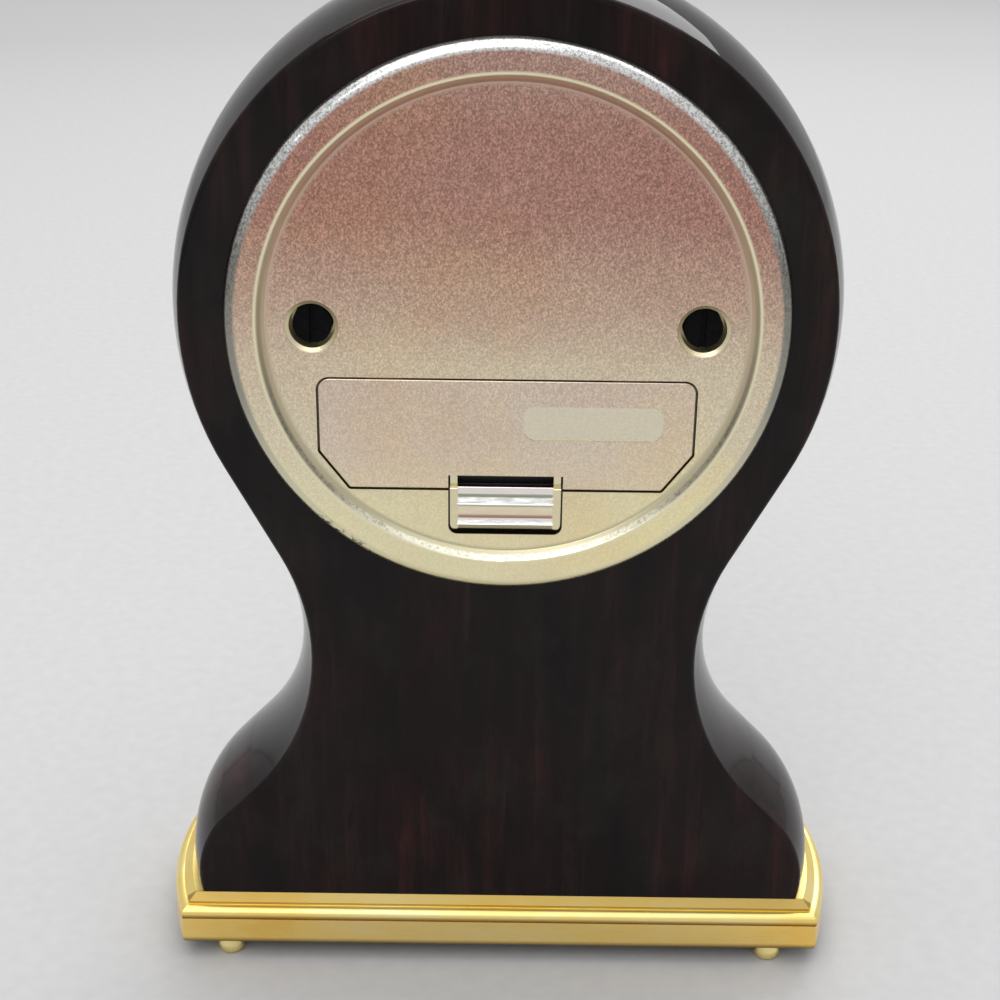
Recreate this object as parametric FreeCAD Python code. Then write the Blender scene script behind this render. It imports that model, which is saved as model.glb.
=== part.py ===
import FreeCAD, Part
import math
import os
from FreeCAD import Placement, Rotation, Vector

# Keyhole-shaped desk clock with a date ring: a lacquered wooden case on a moulded metal base plate,
# with a quartz insert clamped in its round bore between a front bezel and a rear cover.
# Millimetres. +X is right for someone facing the dial, +Y goes to the back, +Z is up, and the
# origin is on the table under the middle of the clock.
# The clock's own pieces are drawn in the dial's frame: x right, y up from the dial's centre, and
# z, called w below, towards the viewer of the dial, with w = 0 in the middle of the case's depth.
# The insert is sized from its AA cell outwards: cell, tray, bore, rear cover and bezel, head.

os.makedirs("parts", exist_ok=True)

# ------------------------------------------------------------------------ driving dimensions
# Wooden case. Half widths and radii are those of its flat front and back faces.
case_depth = 36.0
head_wall = 10.4         # wood between the bore and the head's edge
head_rise = 110.1        # from the wood's foot up to the centre of the round head
waist_half = 33.3
neck_drop = 7.1          # from the head circle's lowest point down to the narrowest place
shoulder_line = 18.3     # straight stretch between head and waist
flare_line = 8.3         # straight stretch between waist and toe
toe_half = 55.6
toe_rise = 3.7           # widest place of the toe above the foot
side_bow = 3.3           # how far the sides swell out in the middle of the depth
case_edge = 1.0

# Base plate, feet and their screws
plate_thick = 9.5
plate_ledge = 1.55       # sloping top that shows in front of and behind the wood
ledge_fall = 1.1
bead_depth = 1.9
bead_height = 1.8
bead_groove = 0.6
bead_belly = 0.18        # shares of the bead's depth and height that place its fullest point
bead_fall = 0.38
band_inset = 0.35
plate_round = 1.8
end_margin = 4.1         # from the wood's bowed side to the plate's bowed end
end_bow = 4.0
foot_radius = 3.1
foot_height = 3.1
foot_round = 1.5
foot_waist = 0.9         # how far the foot draws in where it meets the plate
foot_from_end = 12.5
foot_from_back = 3.4
foot_stem = 1.5
foot_stem_length = 3.0
base_screw_radius = 1.6
base_screw_head = 3.4
base_screw_grip = 13.2   # thread in the wood
base_screw_spread = 30.0
screw_slot = 0.5
screw_slot_depth = 0.5

# AA cell, with the bay that holds it
battery_radius = 7.15
battery_length = 49.2
battery_nub = 1.3
battery_nub_radius = 2.6
battery_play = 0.55
bay_end_room = 0.7       # beyond each end of the cell, for its contact
bay_end_wall = 0.4
bay_floor = 1.1
bay_rim = 0.05           # how far the tray stands past the cell
contact_thick = 0.4
contact_half = 4.0
leaf_half = 5.0
leaf_width = 6.0

# Quartz movement
movement_half_y = 28.0
movement_corner = 3.0
movement_wall = 1.2
movement_behind = 2.4    # gap between the rear cover's inside and the movement
lid_gap = 0.1
insert_room = 4.85       # from the tray's corners out to the bore
pillar_radius = 2.2
pillar_inset_x = 5.0
pillar_inset_y = 6.0
movement_screw_radius = 0.9
movement_screw_head = 1.7
movement_screw_head_height = 1.0
screw_tip_gap = 1.2

# Rear cover
cover_overlap = 3.2      # how far the rim covers the wood round the bore
cover_proud = 2.1
cover_edge = 1.9
cover_lip = 0.3
land_width = 5.45
land_slope = 1.3
floor_step = 1.5
cover_skin = 1.2
spigot_depth = 5.0
spigot_wall = 1.3
setting_margin = 7.45    # from the floor's edge in to the middles of the setting holes
setting_bore = 3.7
setting_chamfer = 0.65
collar_wall = 0.6
collar_depth = 4.8
collar_web = 1.0

# Battery door and its latch
door_margin = 4.1        # the door reaches past the tray's side
door_above = 3.55        # and past the cell, above and below it
door_below = 1.8
door_bevel_x = 5.05
door_bevel_y = 6.65
door_corner = 2.2
door_blunt = 0.8
door_gap = 0.3
door_round = 0.3
ledge_width = 1.0
ledge_thick = 0.5
tab_spread = 20.0
tab_width = 6.0
tab_reach = 1.4
tab_root = 2.0
tab_thick = 0.7
tab_play = 0.3
lozenge_x = -14.3
lozenge_drop = 7.7       # from the door's top edge
lozenge_length = 23.0
lozenge_height = 5.95
lozenge_corner = 2.0
lozenge_depth = 0.3
latch_half = 9.25
latch_play = 0.3
latch_height = 7.7
latch_arm = 1.2
notch_height = 2.7
pocket_height = 7.9
pocket_corner = 1.5
pocket_depth = 3.0
pocket_wall = 0.8
pocket_play = 0.65       # under the latch, where its nose comes down
latch_inner = 2.3        # depths are below the cover's floor, falls below the latch's top
cheek_depth = 0.1
riser_depth = 0.6
riser_fall = 1.8
crest_rise = 0.35
crest_fall = 2.75
crest_width = 0.45
crest_round = 0.2
band_depth = 0.3
band_fall = 3.4
band_foot_fall = 5.05
nose_slope_fall = 6.0
nose_fall = 6.6
nose_width = 0.7
nose_round = 0.3
tongue_reach = 3.0
tongue_bar = 1.6
tongue_thick = 0.6
tongue_play = 0.1
rail_width = 0.8
latch_spring_length = 3.2
latch_spring_wire = 0.25
latch_spring_turns = 3
latch_spring_half = 4.2
pad_length = 14.0
pad_height = 6.0
pad_spread = 17.6
pad_gap = 0.3

# Screws that clamp the rear cover to the insert
post_wall = 0.85
post_gap = 0.15          # between the tray's side and the posts
cover_screw_drop = 7.6   # from the door's top edge
cover_screw_radius = 1.0
cover_screw_head = 1.75
cover_screw_head_height = 0.9
cover_screw_grip = 9.0
cover_screw_play = 0.5   # hole past the screw's tip
head_clear = 0.2
lug_thick = 1.2
lug_half = 2.4
lug_wall = 0.75
riser_width = 1.6

# Front bezel, lens and flange ring
can_clear = 0.15
can_wall = 1.2
can_depth = 13.0
bezel_overlap = 6.3      # how far the bezel covers the wood round the bore
bezel_proud = 3.9
bezel_crest_inner = 5.9  # the crest's two sides, in from the rim
bezel_crest_outer = 3.7
bezel_crest_fall = 0.2
bezel_shoulder = 2.2
bezel_shoulder_height = 1.5
bezel_rim_height = 0.9
lip_cover = 1.4          # how far the bezel's lip covers the lens's edge
lip_thick = 0.6
lip_drop = 1.3           # from the crest down to the lip
lens_edge = 1.5
lens_dome = 1.0
gasket_thick = 0.3
flange_width = 2.8
flange_slope = 2.0
flange_foot = 0.6

# Dial
dial_thick = 0.6
flange_height = 5.2      # from the lens down to the dial
marker_count = 12
marker_margin = 1.7      # inside the flange ring
marker_length = 4.2
marker_width = 1.3
marker_thick = 0.5
bush_radius = 4.2
bush_proud = 0.6
bush_flange = 1.0
window_inset = 6.5       # from the markers' outer ends in to the window's middle
window_width = 7.6
window_height = 5.8
window_corner = 0.4
window_frame = 0.8
window_frame_thick = 0.5

# Date ring and calendar plate
date_gap = 0.3
date_disc = 0.8
date_rim = 2.2
date_teeth = 93
date_pinion_teeth = 10
date_ring_inside = 1.3   # from the window's inner edge
date_ring_play = 0.6
calendar_skin = 1.4
calendar_gap = 0.5
calendar_rim = 1.4
calendar_hub = 3.75

# Hands
hour_length = 21.5
hand_margin = 0.8        # between the minute hand's tip and the markers
second_margin = 2.5      # the second hand stops short of the markers' outer ends
second_tail = 10.0
second_tail_half = 0.8
second_waist_half = 0.35
hour_neck_half = 0.7
hour_belly_half = 1.9
minute_neck_half = 0.6
minute_belly_half = 1.5
hand_tip_half = 0.15
neck_share = 0.25        # places of neck and belly along a leaf-shaped hand
belly_share = 0.62
hand_thick = 0.35
hand_spacing = 1.0
hub_wall = 1.2
hour_height = 1.7        # back of the hour hand above the dial
tube_end = 0.3           # how far each tube stands out of its hand
hour_angle = 305.0       # clockwise from twelve, as the hands stand at ten past ten
minute_angle = 60.0
second_angle = 210.0

# Gear teeth, with half thicknesses at root and tip as shares of the pitch
addendum = 0.75
dedendum = 1.1
wheel_tooth = (0.27, 0.10)
pinion_tooth = (0.21, 0.11)
small_pinion = 12        # up to this count the teeth are the slimmer, pinion kind

# Arbors, tubes and gears
running_fit = 0.05
pressed_fit = 0.01
second_arbor = 0.6
minute_tube = 1.5
hour_tube = 2.5
stud_radius = 0.9
pin_radius = 0.45
pivot_depth = 0.5
pivot_room = 0.1
boss_wall = 1.0
boss_rise = 0.6
setting_shaft = 1.6
shoulder_wall = 0.8
shoulder_thick = 0.6
end_play = 0.2
knob_radius = 3.2
knob_recess = 1.7
knob_height = 3.0
knob_slot = 1.0
knob_slot_depth = 0.5
knob_socket = 0.6
wheel_thick = 0.8
setting_knob_teeth = 12
setting_idler_teeth = 24
setting_wheel_teeth = 24
minute_pinion_teeth = 10
motion_wheel_teeth = 30
motion_pinion_teeth = 8
hour_wheel_teeth = 32
motion_module = 0.4
train_module = 0.3
rotor_teeth = 6
fifth_wheel_teeth = 24
fifth_pinion_teeth = 8
second_wheel_teeth = 60
second_pinion_teeth = 8
third_wheel_teeth = 60
third_pinion_teeth = 8
centre_wheel_teeth = 64
train_gap = 0.4          # between wheels that pass each other
train_angle = 70.0       # from the middle to the rotor, anticlockwise from +X
train_height = 5.0       # second wheel above the lid's inside
rotor_radius = 2.2
rotor_height = 2.0
rotor_overlap = 0.2
stator_gap = 0.4
stator_width = 7.0
stator_arm = 2.0
stator_thick = 1.0
coil_x = -12.0
coil_half = 5.5
coil_radius = 3.2
coil_flange = 0.6
coil_cheek = 0.8
coil_rise = 1.4          # room under the winding
core_radius = 1.0
board_half = 6.0
board_thick = 0.8
board_corner = 0.6
board_inset = 1.0
crystal_radius = 1.0
crystal_length = 6.0

# ------------------------------------------------------------------------ derived places
bay_half = battery_length / 2 + battery_nub + bay_end_room
movement_half_x = bay_half + bay_end_wall
movement_depth = bay_floor + battery_play + 2 * battery_radius + bay_rim
movement_reach = movement_corner + math.hypot(movement_half_x - movement_corner,
                                              movement_half_y - movement_corner)
bore_radius = movement_reach + insert_room
head_radius = bore_radius + head_wall
bezel_radius = bore_radius + bezel_overlap
cover_radius = bore_radius + cover_overlap
land_inner_radius = cover_radius - land_width
floor_radius = land_inner_radius - land_slope
setting_offset = floor_radius - setting_margin

front = case_depth / 2
back = -case_depth / 2
foot_top = foot_height
wood_foot = foot_height + plate_thick
dial_height = wood_foot + head_rise
dial_frame = Placement(Vector(0, 0, dial_height), Rotation(Vector(1, 0, 0), 90))
table_frame = Placement()
plate_half_y = case_depth / 2 + plate_ledge + bead_depth
plate_half_x = toe_half + side_bow + end_margin

can_outer = bore_radius - can_clear
can_inner = can_outer - can_wall
inner_radius = can_inner - can_clear
bezel_lip_radius = inner_radius - lip_cover
bezel_crest = front + bezel_proud
lip_back = bezel_crest - lip_drop - lip_thick
lens_front = lip_back - gasket_thick
lens_back = lens_front - lens_edge
dial_front = lens_back - flange_height
dial_back = dial_front - dial_thick
marker_outer = inner_radius - flange_width - marker_margin
window_y = window_inset - marker_outer

calendar_rim_inner = inner_radius - calendar_rim
date_ring_outer = calendar_rim_inner - date_ring_play
date_ring_inner = -window_y - window_height / 2 - date_ring_inside
calendar_hub_outer = date_ring_inner - running_fit
ring_front = dial_back - date_gap
ring_back = ring_front - date_disc
rim_back = ring_back - date_rim
plate_front = rim_back - calendar_gap
plate_back = plate_front - calendar_skin

land_face = back - cover_proud
floor_face = land_face + floor_step
floor_inside = floor_face + cover_skin
movement_back = floor_inside + movement_behind
movement_front = movement_back + movement_depth
tray_inside = movement_front - movement_wall
lid_inside = movement_back + movement_wall
bay_top = movement_front - bay_floor
battery_y = -movement_half_y + movement_wall + battery_play + battery_radius
battery_w = bay_top - battery_play - battery_radius
bay_wall_y = battery_y + battery_radius + battery_play
pillar_places = [(side * (movement_half_x - pillar_inset_x), movement_half_y - pillar_inset_y)
                 for side in (-1, 1)]

door_half = movement_half_x + door_margin
door_top = battery_y + battery_radius + door_above
door_bottom = battery_y - battery_radius - door_below
notch_top = door_bottom + notch_height
pocket_bottom = door_bottom - pocket_height
latch_bottom = pocket_bottom + pocket_play
latch_top = latch_bottom + latch_height
rail_top = notch_top + tongue_reach + latch_spring_length
post_radius = cover_screw_radius + post_wall
cover_screw_x = movement_half_x + post_gap + post_radius
cover_screw_y = door_top - cover_screw_drop
lug_low = floor_inside + head_clear + cover_screw_head_height
lug_inside = lug_low + lug_thick

setting_module = 2 * setting_offset / (
    setting_knob_teeth + 2 * setting_idler_teeth + setting_wheel_teeth)
idler_x = -setting_module * (setting_wheel_teeth + setting_idler_teeth) / 2
setting_back = (plate_back + movement_front - wheel_thick) / 2
date_module = 2 * setting_offset / (date_teeth - date_pinion_teeth)
knob_back = floor_face + knob_recess
motion_centre = motion_module * (minute_pinion_teeth + motion_wheel_teeth) / 2
motion_back = plate_front + calendar_gap
hour_wheel_back = motion_back + wheel_thick + calendar_gap

hour_hand_back = dial_front + hour_height
minute_hand_back = hour_hand_back + hand_spacing
second_hand_back = minute_hand_back + hand_spacing
minute_length = marker_outer - marker_length - hand_margin
second_length = marker_outer - second_margin

second_wheel_back = lid_inside + train_height
fifth_wheel_back = second_wheel_back - 2 * wheel_thick
third_wheel_back = second_wheel_back + wheel_thick + train_gap
centre_wheel_back = third_wheel_back + 3 * wheel_thick
third_centre = train_module * (third_wheel_teeth + second_pinion_teeth) / 2
centre_module = 2 * third_centre / (centre_wheel_teeth + third_pinion_teeth)
fifth_centre = train_module * (second_wheel_teeth + fifth_pinion_teeth) / 2
rotor_centre = fifth_centre + train_module * (fifth_wheel_teeth + rotor_teeth) / 2
rotor_magnet_back = fifth_wheel_back - rotor_height - calendar_gap
rotor_middle = rotor_magnet_back + rotor_height / 2
coil_w = rotor_middle + coil_radius + coil_rise
rotor_x = rotor_centre * math.cos(math.radians(train_angle))
rotor_y = rotor_centre * math.sin(math.radians(train_angle))
fifth_x = fifth_centre * math.cos(math.radians(train_angle))
fifth_y = fifth_centre * math.sin(math.radians(train_angle))
pivot_places = [(third_centre, 0), (fifth_x, fifth_y), (rotor_x, rotor_y)]


# ------------------------------------------------------------------------ drawing helpers
def rounded_wire(points):
    """Closed outline in the xy plane; a point may carry a corner radius as a third number."""
    count = len(points)
    ends = []
    arcs = []
    for i, point in enumerate(points):
        here = Vector(point[0], point[1], 0)
        radius = point[2] if len(point) > 2 else 0
        before = Vector(points[i - 1][0], points[i - 1][1], 0) - here
        after = Vector(points[(i + 1) % count][0], points[(i + 1) % count][1], 0) - here
        if radius == 0:
            ends.append((here, here))
            arcs.append(None)
            continue
        half = before.getAngle(after) / 2
        before.normalize()
        after.normalize()
        reach = radius / math.tan(half)
        start = here + before * reach
        stop = here + after * reach
        bisector = (before + after).normalize()
        middle = here + bisector * (radius / math.sin(half) - radius)
        ends.append((start, stop))
        arcs.append(Part.Arc(start, middle, stop).toShape())
    edges = []
    for i in range(count):
        if arcs[i]:
            edges.append(arcs[i])
        start = ends[i][1]
        stop = ends[(i + 1) % count][0]
        if start.distanceToPoint(stop) > 1e-6:
            edges.append(Part.makeLine(start, stop))
    return Part.Wire(edges)


def slab(points, low, high):
    """Outline in the dial's plane, raised from w = low to w = high."""
    face = Part.Face(rounded_wire(points))
    face.translate(Vector(0, 0, low))
    return face.extrude(Vector(0, 0, high - low))


def turned(points):
    """Solid turned about the dial's axis from an outline of (radius, w) points."""
    face = Part.Face(rounded_wire(points))
    face.rotate(Vector(0, 0, 0), Vector(1, 0, 0), 90)
    return face.revolve(Vector(0, 0, 0), Vector(0, 0, 1), 360)


def rod(radius, low, high, x=0.0, y=0.0):
    return Part.makeCylinder(radius, high - low, Vector(x, y, low))


def tube(outer, inner, low, high, x=0.0, y=0.0):
    return rod(outer, low, high, x, y).cut(rod(inner, low - 1, high + 1, x, y))


def block(x0, x1, y0, y1, low, high):
    return Part.makeBox(x1 - x0, y1 - y0, high - low, Vector(x0, y0, low))


def rectangle(half_x, half_y, corner, x=0.0, y=0.0):
    return [(x - half_x, y - half_y, corner), (x + half_x, y - half_y, corner),
            (x + half_x, y + half_y, corner), (x - half_x, y + half_y, corner)]


def join(first, *others):
    return first.fuse(list(others)).removeSplitter()


def mirrored(shape):
    return shape.mirror(Vector(0, 0, 0), Vector(1, 0, 0))


def solids(*shapes):
    found = [solid for shape in shapes for solid in shape.Solids]
    return found[0] if len(found) == 1 else Part.makeCompound(found)


def write(name, shape, frame=dial_frame):
    placed = solids(shape).copy()
    placed.Placement = frame.multiply(placed.Placement)
    placed.exportStep(f"parts/{name}.step")


# ------------------------------------------------------------------------ gear teeth
def tooth_outline(teeth, module, phase, inward=False):
    """Toothed outline. phase is the angle of one tooth's centre; inward teeth point to the axis."""
    side = -1 if inward else 1
    root_radius = teeth * module / 2 - side * dedendum * module
    tip_radius = teeth * module / 2 + side * addendum * module
    root, tip = pinion_tooth if teeth <= small_pinion else wheel_tooth
    corners = ((root_radius, -root), (tip_radius, -tip), (tip_radius, tip), (root_radius, root))
    pitch = 2 * math.pi / teeth
    points = []
    for tooth in range(teeth):
        for radius, share in corners:
            angle = math.radians(phase) + (tooth + share) * pitch
            points.append(Vector(radius * math.cos(angle), radius * math.sin(angle), 0))
    return Part.Face(Part.makePolygon(points + points[:1]))


def gear(teeth, module, low, phase, x=0.0, y=0.0, thick=wheel_thick):
    face = tooth_outline(teeth, module, phase)
    face.translate(Vector(x, y, low))
    return face.extrude(Vector(0, 0, thick))


def meshing_phase(teeth, driver_teeth, driver_phase, direction):
    """Phase that sets a gear's gap on its driver's tooth; direction runs from driver to gear."""
    driver_share = (driver_phase - direction) * driver_teeth / 360
    return direction + 180 + (0.5 - driver_share) * 360 / teeth


# ------------------------------------------------------------------------ wooden case
def case_arcs():
    """Centres and radii of the head, waist and toe arcs, each tangent to the line between them."""
    waist_y = -head_radius - neck_drop
    waist_radius = (waist_half ** 2 + waist_y ** 2 - head_radius ** 2 - shoulder_line ** 2) / (
        2 * (head_radius - waist_half))
    waist_x = waist_half + waist_radius
    toe_y = toe_rise - head_rise
    reach = waist_x - toe_half
    toe_radius = (waist_radius ** 2 + flare_line ** 2 - reach ** 2 - (toe_y - waist_y) ** 2) / (
        2 * (reach - waist_radius))
    return waist_x, waist_y, waist_radius, toe_half - toe_radius, toe_y, toe_radius


def polar(x, y, radius, angle):
    return Vector(x + radius * math.cos(angle), y + radius * math.sin(angle), 0)


def case_path(inset, overrun):
    """Outline of the case from its right foot over the head to the left foot, moved in by inset.

    It is carried on straight below the foot by overrun.
    """
    waist_x, waist_y, waist_radius, toe_x, toe_y, toe_radius = case_arcs()
    head = head_radius - inset
    waist = waist_radius + inset
    toe = toe_radius - inset
    shoulder = math.atan2(waist_y, waist_x) + math.acos(
        (head_radius + waist_radius) / math.hypot(waist_x, waist_y))
    flare = math.atan2(toe_y - waist_y, toe_x - waist_x) % (2 * math.pi) - math.acos(
        (waist_radius + toe_radius) / math.hypot(toe_x - waist_x, toe_y - waist_y))
    foot = -math.asin(toe_rise / toe)
    above_flare = flare - math.pi
    toe_arc = Part.Arc(polar(toe_x, toe_y, toe, foot),
                       polar(toe_x, toe_y, toe, (foot + above_flare) / 2),
                       polar(toe_x, toe_y, toe, above_flare)).toShape()
    waist_arc = Part.Arc(polar(waist_x, waist_y, waist, flare),
                         polar(waist_x, waist_y, waist, (flare + shoulder + math.pi) / 2),
                         polar(waist_x, waist_y, waist, shoulder + math.pi)).toShape()
    heel = polar(toe_x, toe_y, toe, foot)
    tail = Part.makeLine(heel + Vector(math.sin(foot), -math.cos(foot), 0) * overrun, heel)
    flare_edge = Part.makeLine(toe_arc.lastVertex().Point, waist_arc.firstVertex().Point)
    shoulder_edge = Part.makeLine(waist_arc.lastVertex().Point, polar(0, 0, head, shoulder))
    right = [tail, toe_arc, flare_edge, waist_arc, shoulder_edge]
    head_arc = Part.Arc(polar(0, 0, head, shoulder), Vector(0, head, 0),
                        polar(0, 0, head, math.pi - shoulder)).toShape()
    left = [mirrored(edge) for edge in reversed(right)]
    return Part.Wire(Part.__sortEdges__(right + [head_arc] + left))


def side_section(rim):
    """Cross-section of the bowed side, as (outward, w), with rounded edges to the flat faces."""
    half = case_depth / 2
    bow_radius = (half ** 2 + side_bow ** 2) / (2 * side_bow)
    bow_centre = side_bow - bow_radius
    edge_out = bow_centre + math.sqrt((bow_radius - case_edge) ** 2 - (half - case_edge) ** 2)
    lean = math.atan2(half - case_edge, edge_out - bow_centre)
    bow_end = polar(bow_centre, 0, bow_radius, lean)
    edge_mid = polar(edge_out, half - case_edge, case_edge, (lean + math.pi / 2) / 2)
    edge_top = Vector(edge_out, half, 0)

    def low(point):
        return Vector(point.x, -point.y, 0)

    return [Part.makeLine(Vector(-rim, -half, 0), low(edge_top)),
            Part.Arc(low(edge_top), low(edge_mid), low(bow_end)).toShape(),
            Part.Arc(low(bow_end), Vector(side_bow, 0, 0), bow_end).toShape(),
            Part.Arc(bow_end, edge_mid, edge_top).toShape(),
            Part.makeLine(edge_top, Vector(-rim, half, 0)),
            Part.makeLine(Vector(-rim, half, 0), Vector(-rim, -half, 0))]


def case_body():
    rim = 4 * case_edge
    overlap = rim / 2
    overrun = 2 * side_bow
    path = case_path(0, overrun)
    start = path.OrderedVertexes[0].Point
    tangent = path.OrderedEdges[0].tangentAt(path.OrderedEdges[0].FirstParameter)
    if path.OrderedEdges[0].firstVertex().Point.distanceToPoint(start) > 1e-6:
        tangent = path.OrderedEdges[0].tangentAt(path.OrderedEdges[0].LastParameter)
    outward = Vector(tangent.y, -tangent.x, 0).normalize()
    if outward.x < 0:
        outward = outward * -1
    section = Part.Wire(side_section(rim))
    turn = Rotation(outward, Vector(0, 0, 1), outward.cross(Vector(0, 0, 1)), "XYZ")
    section.Placement = Placement(start, turn)
    skirt = path.makePipeShell([section], True, False)
    inner = case_path(overlap, overrun)
    ends = [vertex.Point for vertex in (inner.OrderedVertexes[0], inner.OrderedVertexes[-1])]
    closed = Part.Wire(inner.OrderedEdges + [Part.makeLine(ends[1], ends[0])])
    core = Part.Face(closed)
    core.translate(Vector(0, 0, back))
    body = join(core.extrude(Vector(0, 0, case_depth)), skirt)
    wide = toe_half + 2 * side_bow
    body = body.cut(block(-wide, wide, -head_rise - 4 * overrun, -head_rise, back - 1, front + 1))
    body = body.cut(rod(bore_radius, back - 1, front + 1))
    for x in (-base_screw_spread, base_screw_spread):
        pilot = Part.makeCylinder(base_screw_radius, base_screw_grip, Vector(x, -head_rise, 0),
                                  Vector(0, 1, 0))
        body = body.cut(pilot)
    return body


# ------------------------------------------------------------------------ base plate, feet, screws
def moulding(edge):
    """Right half of the plate's moulded section, as (distance from the middle, height)."""
    top = wood_foot
    bead_top = top - ledge_fall - bead_groove
    bead_low = bead_top - bead_height
    bead_root = edge - bead_depth
    line = edge - 2 * band_inset
    band_low = foot_top + plate_round
    return [Part.makeLine(Vector(0, foot_top, 0), Vector(0, top, 0)),
            Part.makeLine(Vector(0, top, 0), Vector(bead_root - plate_ledge, top, 0)),
            Part.makeLine(Vector(bead_root - plate_ledge, top, 0),
                          Vector(bead_root, top - ledge_fall, 0)),
            Part.makeLine(Vector(bead_root, top - ledge_fall, 0), Vector(bead_root, bead_top, 0)),
            Part.Arc(Vector(bead_root, bead_top, 0),
                     Vector(edge - bead_depth * bead_belly, bead_top - bead_height * bead_fall, 0),
                     Vector(edge - band_inset / 2, bead_low, 0)).toShape(),
            Part.makeLine(Vector(edge - band_inset / 2, bead_low, 0), Vector(line, bead_low, 0)),
            Part.makeLine(Vector(line, bead_low, 0), Vector(line, bead_low - band_inset, 0)),
            Part.makeLine(Vector(line, bead_low - band_inset, 0),
                          Vector(edge - band_inset, bead_low - band_inset, 0)),
            Part.makeLine(Vector(edge - band_inset, bead_low - band_inset, 0),
                          Vector(edge, band_low, 0)),
            Part.Arc(Vector(edge, band_low, 0),
                     polar(edge - plate_round, band_low, plate_round, -math.pi / 4),
                     Vector(edge - plate_round, foot_top, 0)).toShape(),
            Part.makeLine(Vector(edge - plate_round, foot_top, 0), Vector(0, foot_top, 0))]


def plate_quarter():
    """Corner of the plate: a straight moulded side that runs out into the bowed moulded end."""
    end_radius = (plate_half_y ** 2 + end_bow ** 2) / (2 * end_bow)
    side = Part.Face(Part.Wire(moulding(plate_half_y)))
    side.rotate(Vector(0, 0, 0), Vector(1, 0, 0), 90)
    side.rotate(Vector(0, 0, 0), Vector(0, 0, 1), 90)
    end = Part.Face(Part.Wire(moulding(end_radius)))
    end.rotate(Vector(0, 0, 0), Vector(1, 0, 0), 90)
    bowed = end.revolve(Vector(0, 0, 0), Vector(0, 0, 1), 360)
    bowed.translate(Vector(plate_half_x - end_radius, 0, 0))
    return side.extrude(Vector(plate_half_x + end_margin, 0, 0)).common(bowed)


def foot_places():
    x = plate_half_x - foot_from_end
    y = plate_half_y - foot_from_back
    return [(sx * x, sy * y) for sx in (-1, 1) for sy in (-1, 1)]


def base_plate():
    quarter = plate_quarter()
    half = join(quarter, quarter.mirror(Vector(0, 0, 0), Vector(0, 1, 0)))
    plate = join(half, mirrored(half))
    for x, y in foot_places():
        socket = rod(foot_stem, foot_top, foot_top + foot_stem_length + pressed_fit, x, y)
        plate = plate.cut(socket)
    for x in (-base_screw_spread, base_screw_spread):
        plate = plate.cut(rod(base_screw_radius, foot_top, wood_foot, x))
        plate = plate.cut(Part.makeCone(base_screw_head, 0, base_screw_head, Vector(x, 0, foot_top)))
    return plate


def base_feet():
    """Turned button feet with a stem pressed into the plate."""
    outline = [(0, foot_top + foot_stem_length), (0, 0), (foot_radius, 0, foot_round),
               (foot_radius - foot_waist, foot_top), (foot_stem, foot_top),
               (foot_stem, foot_top + foot_stem_length)]
    foot = turned(outline)
    feet = []
    for x, y in foot_places():
        copy = foot.copy()
        copy.translate(Vector(x, y, 0))
        feet.append(copy)
    return solids(*feet)


def base_screws():
    screws = []
    for x in (-base_screw_spread, base_screw_spread):
        head = Part.makeCone(base_screw_head, base_screw_radius,
                             base_screw_head - base_screw_radius, Vector(x, 0, foot_top))
        shank = rod(base_screw_radius, foot_top, wood_foot + base_screw_grip, x)
        slot = block(x - base_screw_head, x + base_screw_head, -screw_slot / 2, screw_slot / 2,
                     foot_top, foot_top + screw_slot_depth)
        screws.append(head.fuse(shank).cut(slot))
    return solids(*screws)


# ------------------------------------------------------------------------ bezel, lens, dial
def bezel():
    return turned([(bezel_lip_radius, lip_back), (bezel_lip_radius, lip_back + lip_thick, 0.2),
                   (bezel_radius - bezel_crest_inner, bezel_crest, 1.0),
                   (bezel_radius - bezel_crest_outer, bezel_crest - bezel_crest_fall, 1.6),
                   (bezel_radius - bezel_shoulder, front + bezel_shoulder_height, 2.2),
                   (bezel_radius, front + bezel_rim_height, 0.3), (bezel_radius, front),
                   (can_outer, front), (can_outer, front - can_depth),
                   (can_inner, front - can_depth), (can_inner, lip_back)])


def lens():
    """Domed glass with a flat edge that sits under the bezel's lip."""
    edge = bezel_lip_radius - can_clear
    ball_radius = (edge ** 2 + lens_dome ** 2) / (2 * lens_dome)
    ball = Part.makeSphere(ball_radius, Vector(0, 0, lens_front + lens_dome - ball_radius))
    dome = rod(edge, lens_back, lens_front + 2 * lens_dome).common(ball)
    return join(rod(inner_radius, lens_back, lens_front), dome)


def lens_gasket():
    return tube(inner_radius, bezel_lip_radius + can_clear, lens_front, lip_back)


def flange_ring():
    """Sloping ring that stands on the dial and carries the lens."""
    return turned([(inner_radius, dial_front), (inner_radius, lens_back),
                   (inner_radius - flange_width + flange_slope, lens_back, 0.2),
                   (inner_radius - flange_width, dial_front + flange_foot, 0.3),
                   (inner_radius - flange_width, dial_front)])


def window(grow, low, high):
    return slab(rectangle(window_width / 2 + grow, window_height / 2 + grow, window_corner + grow / 4,
                          0, window_y), low, high)


def dial():
    plate = tube(inner_radius, bush_radius - bush_flange, dial_back, dial_front)
    return plate.cut(window(0, dial_back - 1, dial_front + 1))


def clock_angle(hour):
    return 360.0 * hour / marker_count


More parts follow.
